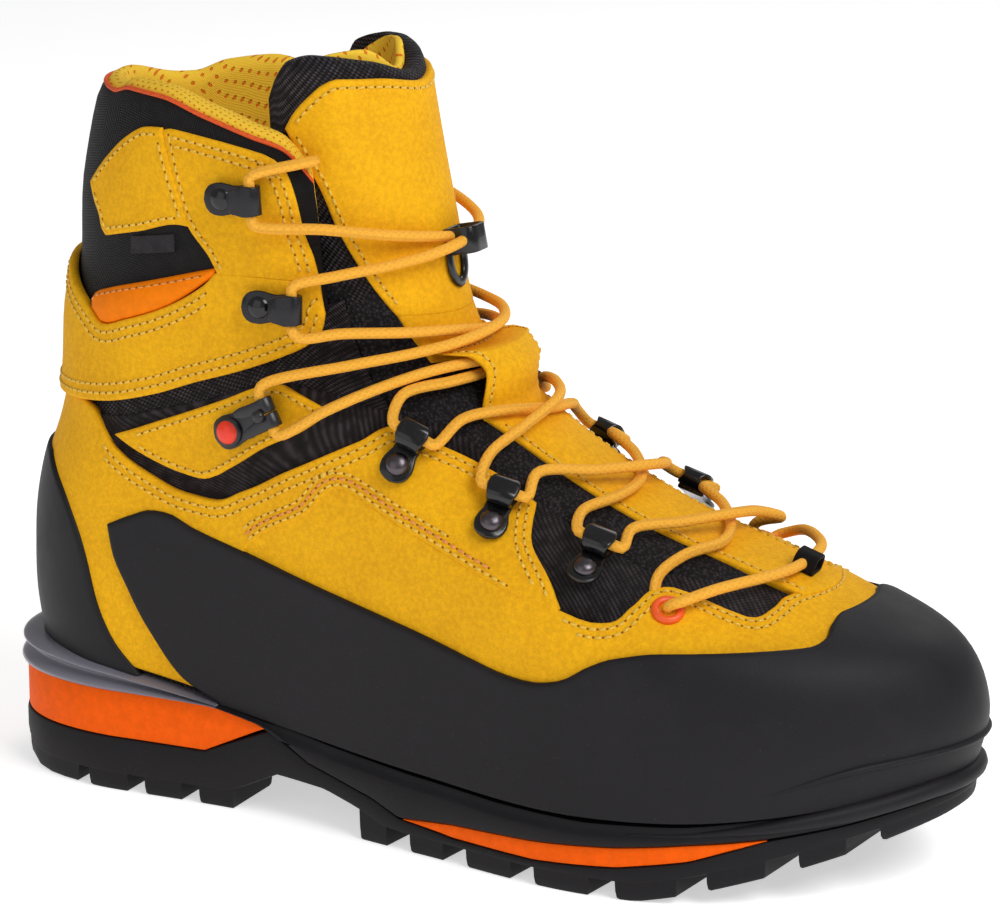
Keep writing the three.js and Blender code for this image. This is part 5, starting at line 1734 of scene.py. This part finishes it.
    def pieces(self, name: str) -> list[tuple[str, Form, Body, Finish, list[str], Optional[float]]]:
        """A clip's pieces: name, form, body, finish, the nodes that it stands for and its crisp angle."""
        kind, side = name.split("_")[0], name.split("_")[-1]
        foot, cuff = Body.FOOT, Body.CUFF
        if kind == "pulley":
            return [(f"{name}_loop", self.pulley(), foot, Finishes.LOOP, [name], self.crisp),
                    (f"{name}_rivet", self.dome(1.3, 3.5, 4.0), foot, Finishes.RIVET, [], None)]
        if kind == "hook":
            body = join([self.hook(), self.rib()])
            return [(f"{name}_body", body, cuff, Finishes.HOOK, [name], self.crisp),
                    (f"{name}_rivet", self.dome(1.0, 3.7, 3.6), cuff, Finishes.LOOP, [], None)]
        if kind == "lock":
            seat = turned([(2.6, 1.1), (4.6, 1.1), (4.6, 1.9), (4.2, 2.5), (3.4, 2.6), (2.6, 2.4),
                           (2.6, 1.1)], 28)
            cap = self.dome(1.4, 3.7, 4.2)
            return [(f"lock_clasp_{side}", self.lock_hook(), foot, Finishes.CLASP, [f"lock_hook_{side}"],
                     self.crisp),
                    (f"lock_seat_{side}", seat, foot, Finishes.CLASP, [], None),
                    (f"lock_cap_{side}", cap, foot, Finishes.RED, [f"lock_rivet_{side}"], None)]
        ring = turned([(2.5, -2.4), (4.9, -2.2), (4.9, -0.9), (4.5, -0.2), (3.7, 0.05), (2.9, -0.3),
                       (2.5, -0.9), (2.5, -2.4)], 32)
        # Painted shade: a dark disc fills the ring's hole round the lace, for the shade inside it.
        dark = turned([(0, -2.2), (2.6, -2.2), (2.6, -1.6), (0, -1.5)], 20)
        return [(f"eyelet_ring_{side}", ring, foot, Finishes.RING, [name], None),
                (f"eyelet_hole_shade_{side}", dark, foot, Finishes.HOLE_SHADE, [], None)]

    def build(self) -> None:
        """Makes every clip at its frame."""
        for name, place in self.frames.items():
            for title, form, body, finish, nodes, crisp in self.pieces(name):
                Workshop.piece(title, place.move(form), body, finish, nodes, crisp)
        self.keepers()

    def keepers(self) -> None:
        """The gloss loop on the tongue with its slotted tab, and the webbing loop at the toe."""
        loops = (("tongue_keeper", "tongue_keeper_loop", Place.on_skin(1, 0.885, 1, 0.91, -0.2),
                  11.0, 8.0, 10.4, Body.CUFF, Finishes.LOOP),
                 ("toe_keeper", "toe_keeper_webbing", Place.on_skin(1, 0.385, 1, 0.41, 1.7),
                  9.0, 7.0, 6.2, Body.FOOT, Finishes.WEBBING))
        for node, name, place, wide, deep, tall, body, finish in loops:
            corner = 2.4
            a, b = wide / 2 - 0.75, tall - 0.6
            turns = np.linspace(0, np.pi / 2, 6)
            right = np.stack([a - corner + corner * np.cos(turns), b - corner + corner * np.sin(turns)], 1)
            half = np.concatenate([[[0, 0.75], [a - 0.6, 0.75], [a, 1.4]], right])
            line = np.concatenate([half, (half * [-1, 1])[::-1][:-1]])
            line = even(np.concatenate([line, line[:1]]), 49)[:-1]
            path = np.column_stack([np.zeros(48), line[:, 0], line[:, 1]])
            run = ring_run(path)
            across = np.array([1.0, 0, 0])
            section = rounded_bar(np.full(48, deep / 2), 1.2) - np.array([0, 0.6])
            form = self._upright(sweep(path, across, np.cross(run, across), section, True))
            Workshop.piece(name, place.move(form), body, finish, [node], crisp=60)
        place = Place.on_skin(1, 0.865, 1, 0.885, 0.5)
        angle = np.linspace(0, 2 * np.pi, 41)[:-1]
        path = np.stack([-1.0 + 6.6 * np.cos(angle), 4.6 * np.sin(angle), np.full(40, 0.6)], 1)
        run = ring_run(path)
        up = np.array([0, 0, 1.0])
        tab = self._upright(sweep(path, np.cross(up, run), up, oval(1.7, 0.9, 10), True))
        Workshop.piece("tongue_keeper_tab", place.move(tab), Body.CUFF, Finishes.LOOP)


@dataclass
class Lacing:
    """One lace laid over the boot in the stretches between the hardware."""

    hardware: Hardware
    radius: float = 1.65
    side_lift: float = 5.6
    samples: int = 9

    def channel(self, name: str, across: float, past: float = 0.0, out: float = 0.0) -> Array:
        """A place on the lace in a clip's channel."""
        hw = self.hardware
        flip = -1 if name.endswith("medial") else 1
        reach = hw.lock_reach if name.startswith("lock") else hw.reach
        x = reach - (1.5 if name.startswith("pulley") else 0.4)
        return hw.frames[name].put([x + out, flip * across * (hw.width / 2 + past), hw.bend])

    def through(self, name: str) -> list[Array]:
        """The lace through a clip."""
        return [self.channel(name, -1, 2.6, 0.2), self.channel(name, -1, 0.2), self.channel(name, 1, 0),
                self.channel(name, 1, 2.4, 0.3)]

    def bridge(self, places: Sequence[Pair], lift: float, side: Side) -> list[Array]:
        """The lace over the front: it stands off evenly, changing to lift at the middle line."""
        rise = lift - self.side_lift
        return [LAST.at(side.turn(u), v, self.side_lift + rise * math.exp(-(((u - 1) / 0.13) ** 2)))
                for u, v in places]

    def curve(self, points: Sequence[Array]) -> Array:
        """A Catmull-Rom curve through the points whose knots are the square roots of their distances."""
        p = np.array(points)
        p = np.concatenate([2 * p[:1] - p[1:2], p, 2 * p[-1:] - p[-2:-1]])
        knot = np.concatenate([[0], np.cumsum(np.sqrt(np.linalg.norm(np.diff(p, axis=0), axis=1)))])
        s = np.linspace(0, 1, self.samples, endpoint=False)
        p0, p1, p2, p3 = (p[k: len(p) - 3 + k][:, None] for k in range(4))
        t0, t1, t2, t3 = (knot[k: len(p) - 3 + k][:, None, None] for k in range(4))
        t = t1 + (t2 - t1) * s[None, :, None]
        a1 = (t1 - t) / (t1 - t0) * p0 + (t - t0) / (t1 - t0) * p1
        a2 = (t2 - t) / (t2 - t1) * p1 + (t - t1) / (t2 - t1) * p2
        a3 = (t3 - t) / (t3 - t2) * p2 + (t - t2) / (t3 - t2) * p3
        b1 = (t2 - t) / (t2 - t0) * a1 + (t - t0) / (t2 - t0) * a2
        b2 = (t3 - t) / (t3 - t1) * a2 + (t - t1) / (t3 - t1) * a3
        line = (t2 - t) / (t2 - t1) * b1 + (t - t1) / (t2 - t1) * b2
        return np.concatenate([line.reshape(-1, 3), p[-2:-1]])

    def cord(self, points: Sequence[Array]) -> Form:
        """The lace round a path, with frames that turn as little as they can."""
        path = self.curve(points)
        path = even(path, max(8, int(along(path)[-1] / 1.5)))
        run = unit(np.gradient(path, axis=0))
        ups = [unit(np.cross(run[0], [0.3, 0.2, 0.9]))]
        for a, b in zip(run[:-1], run[1:]):
            turn, last = np.cross(a, b), ups[-1]
            carried = last + np.cross(turn, last) + np.cross(turn, np.cross(turn, last)) / (1 + np.dot(a, b))
            ups.append(unit(carried - b * np.dot(carried, b)))
        up = np.array(ups)
        return sweep(path, np.cross(up, run), up, oval(self.radius, self.radius, 14))

    def build(self) -> None:
        """Makes the seven stretches of the lace."""
        u, v = self.hardware.eyelet
        at = LAST.at
        half = [at(u, v, 0), at(u, v, 3), at(u + 0.012, v, 5.4), at(0.8, 0.352, 6.8), at(0.9, 0.375, 6.0),
                at(0.96, 0.384, 5)]
        other = [at(2 - u, v, 0), at(2 - u, v, 3), at(1.988 - u, v, 5.4), at(1.2, 0.352, 6.8),
                 at(1.1, 0.375, 6.0),
                 at(1.04, 0.384, 5)]
        toe = half + other[::-1]
        Workshop.piece("lace_over_toe", self.cord(toe), Body.FOOT, Finishes.LACE, ["lace_toe"])
        strands = (
            (Side.LATERAL, Side.MEDIAL, ((0.762, 0.376, -1.2), (0.786, 0.402, 2.4), (0.84, 0.427, 4.6)),
             (4.6, 9.0, 9.0, 5.7), 9.6, 2.9),
            (Side.MEDIAL, Side.LATERAL, ((0.762, 0.376, -1.2), (0.79, 0.395, 2.4), (0.85, 0.405, 7)),
             (9.0, 4.6, 4.6, 1.4), 4.4, 6.9))
        ankle_flex = Bend(Body.FOOT, Body.CUFF, (112.0, 0.0, 136.0), (108.0, 0.0, 152.0))
        for near, far, start, lifts, ankle, keep in strands:
            bridge = partial(self.bridge, side=near)
            lock, hook = f"lock_{near.value}", f"hook_1_{far.value}"
            foot = [at(near.turn(u), v, lift) for u, v, lift in start]
            foot += bridge([(0.92, 0.44), (1, 0.456), (1.1, 0.468), (1.17, 0.47)], lifts[0])
            foot += self.through(f"pulley_3_{far.value}")
            foot += bridge([(1.19, 0.506), (1.1, 0.526), (1, 0.54), (0.9, 0.554), (0.82, 0.563)], lifts[1])
            foot += self.through(f"pulley_2_{near.value}")
            foot += bridge([(0.785, 0.592), (0.88, 0.624), (1, 0.642), (1.12, 0.652), (1.2, 0.644)], lifts[2])
            foot += self.through(f"pulley_1_{far.value}")
            foot += bridge([(1.255, 0.682), (1.16, 0.7), (1.08, 0.709), (1, 0.716), (0.9, 0.723),
                            (0.8, 0.714), (0.7, 0.686), (0.63, 0.658)], lifts[3])
            foot += self.through(lock)[:3]
            Workshop.piece(f"lace_lower_{near.value}", self.cord(foot), Body.FOOT, Finishes.LACE,
                           [f"lace_foot_{near.value}"])
            middle = [self.channel(lock, 1, -0.3), self.channel(lock, 1, 1.8, 0.3),
                      self.channel(lock, 1, 3.6, 2.6)]
            middle += bridge([(0.7, 0.728), (0.8, 0.745), (0.9, 0.756), (1, 0.766), (1.1, 0.775),
                              (1.2, 0.777), (1.3, 0.775)], ankle)
            middle += [self.channel(hook, -1, 3.6, 2.6), self.channel(hook, -1, 1.8, 0.3),
                       self.channel(hook, -1, -0.3)]
            Workshop.piece(f"lace_middle_{near.value}", self.cord(middle), ankle_flex, Finishes.LACE,
                           [f"lace_ankle_{near.value}"])
            upper = self.through(hook)[1:]
            upper += bridge([(1.29, 0.852), (1.2, 0.866), (1.1, 0.878), (1, 0.889), (0.9, 0.896),
                             (0.8, 0.902), (0.7, 0.908)], keep)
            upper += self.through(f"hook_2_{near.value}")
            upper += [at(near.turn(0.665), 0.985, 4), at(near.turn(0.7), 0.99, 1.2)]
            Workshop.piece(f"lace_upper_{near.value}", self.cord(upper), Body.CUFF, Finishes.LACE,
                           [f"lace_cuff_{near.value}"])


# ---------------------------------------------------------------- inside
@dataclass
class Inside:
    """Lining of the foot and the felt footbed; the boards under them keep the model's own shapes."""

    sole: Sole
    boards: Sequence[tuple[str, Finish]] = (
        ("shank", Finishes.STEEL), ("insole_board", Finishes.BOARD), ("heel_counter", Finishes.BOARD),
        ("toe_puff", Finishes.BOARD))

    def lining(self) -> None:
        """The knitted lining of the foot."""
        lining = Patch([(0.0, 0.02), (2.0, 0.02)], both(FLEX_LOW) + [(2.0, FLEX_LOW[0][1])], -8.0, -6.8,
                       loop=True,
                       step=4.0, rolled="top", roll=0.5)
        Workshop.piece("foot_lining_mesh", lining.form(), Body.FOOT, Finishes.LINING, ["foot_lining"])

    def footbed(self) -> None:
        """A cupped felt sheet: rings of its outline, drawn in towards the middle line."""
        turn = np.linspace(0, 2, 181)[:-1]
        rim, out = LAST.skin(turn, 0 * turn), LAST.normal(turn, 0 * turn)
        out = unit(out * np.array([1.0, 1.0, 0.0]))
        rings = []
        for inset, above, share in ((13.0, 4.4, 0.35), (13.0, 4.4, 0.95), (12.2, 4.6, 1.0),
                                    (11.6, 5.6, 1.0), (11.4, 8.4, 1.0), (12.0, 9.0, 1.0), (13.0, 8.4, 1.0),
                                    (16.0, 7.4, 0.98), (16.0, 7.0, 0.7), (16.0, 7.0, 0.35)):
            plan = (rim - out * inset)[:, :2]
            plan[:, 0] = np.clip(plan[:, 0], 10, 291)
            axis = np.column_stack([150 + (plan[:, 0] - 150) * 0.9, 0 * plan[:, 0]])
            plan = axis + (plan - axis) * share
            rings.append(np.column_stack([plan, read_line(self.sole.feather, plan[:, 0]) + above]))
        points = np.stack(rings, 1)
        n, m = points.shape[:2]
        faces = as_faces(grid_faces(n, m, True))
        faces += [tuple(i * m for i in range(n))[::-1], tuple(i * m + m - 1 for i in range(n))]
        Workshop.piece("felt_footbed", Form(points.reshape(-1, 3), faces), Body.FOOTBED, Finishes.FELT,
                       ["footbed"])

    def build(self) -> None:
        """Makes the lining and footbed and finishes the boards."""
        self.lining()
        self.footbed()
        for node, finish in self.boards:
            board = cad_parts[node]
            for slot in board.material_slots:
                slot.material = finish.material()


# ---------------------------------------------------------------- stage
@dataclass
class Studio:
    """Pale floor, soft lights and the camera."""

    target: tuple[float, float, float] = (150.0, 0.0, 90.0)
    slide: Pair = (5.1, 18.7)
    azimuth: float = 25.4
    elevation: float = 14.8
    distance: float = 1300.0
    lens: float = 156.2
    floor: Colour = (0.93, 0.93, 0.93)
    glow: float = 0.55
    sky: float = 0.3
    lights: Sequence[tuple[str, tuple[float, float, float], float, float]] = (
        ("key", (1.05, -0.5, 1.2), 0.8, 13.8), ("fill", (-0.3, -1.5, 0.7), 1.2, 3.0),
        ("rim", (0.2, 1.2, 1.1), 1.0, 5))

    def camera(self) -> None:
        """A long lens from the toe's outer side; slide moves it and its target across and up."""
        a, e = math.radians(self.azimuth), math.radians(self.elevation)
        back = np.array([math.sin(a) * math.cos(e), -math.cos(a) * math.cos(e), math.sin(e)])
        right = np.array([math.cos(a), math.sin(a), 0.0])
        up = np.cross(back, right)
        aim = to_frame(np.array(self.target) + right * self.slide[0] + up * self.slide[1])
        data = bpy.data.cameras.new("camera")
        data.lens, data.sensor_width, data.clip_end = self.lens, 36.0, 50.0
        camera = bpy.data.objects.new("camera", data)
        camera.location = Vector(aim + back * self.distance / 1000)
        camera.rotation_euler = Vector(-back).to_track_quat("-Z", "Y").to_euler()
        bpy.context.scene.collection.objects.link(camera)
        bpy.context.scene.camera = camera

    def light(self, name: str, place: tuple[float, float, float], size: float, power: float) -> None:
        """A square soft light, in metres and watts, that faces the boot."""
        data = bpy.data.lights.new(name, "AREA")
        data.size, data.energy = size, power
        light = bpy.data.objects.new(name, data)
        light.location = place
        light.rotation_euler = (Vector((0, 0, 0.1)) - Vector(place)).to_track_quat("-Z", "Y").to_euler()
        bpy.context.scene.collection.objects.link(light)

    def build(self) -> None:
        """Makes the floor, world, lights and camera."""
        ground = bpy.data.meshes.new("floor")
        ground.from_pydata([(-6, -6, 0), (6, -6, 0), (6, 6, 0), (-6, 6, 0)], [], [(0, 1, 2, 3)])
        graph = Graph("floor_paint")
        shade = graph.noise(3.0, 2).over(0.2, 0.8)
        tone = graph.mix(shade, tuple(c * 0.985 for c in self.floor), self.floor)
        ground.materials.append(graph.surface(Base_Color=tone, Roughness=0.9, Specular_IOR_Level=0.1,
                                              Emission_Color=(1.0, 1.0, 1.0), Emission_Strength=self.glow))
        floor = bpy.data.objects.new("floor", ground)
        bpy.context.scene.collection.objects.link(floor)
        floor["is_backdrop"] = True
        world = bpy.data.worlds.new("world")
        world.use_nodes = True
        world.node_tree.nodes["Background"].inputs["Color"].default_value = (1, 1, 1, 1)
        world.node_tree.nodes["Background"].inputs["Strength"].default_value = self.sky
        bpy.context.scene.world = world
        for light in self.lights:
            self.light(*light)
        self.camera()
        bpy.context.scene.view_settings.view_transform = "Standard"


def main() -> None:
    """Builds the boot and the studio and logs the number of pieces and their bounds."""
    logging.basicConfig(level=logging.INFO)
    sole, hardware = Sole(), Hardware()
    for part in (sole, FootUpper(), Cuff(), Tongue(), hardware, Lacing(hardware), Inside(sole), Studio()):
        part.build()
    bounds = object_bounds()
    LOG.info("%d pieces, bounds %s against %s", Workshop.made, bounds, CAD_BOX)


if __name__ == "__main__":
    main()
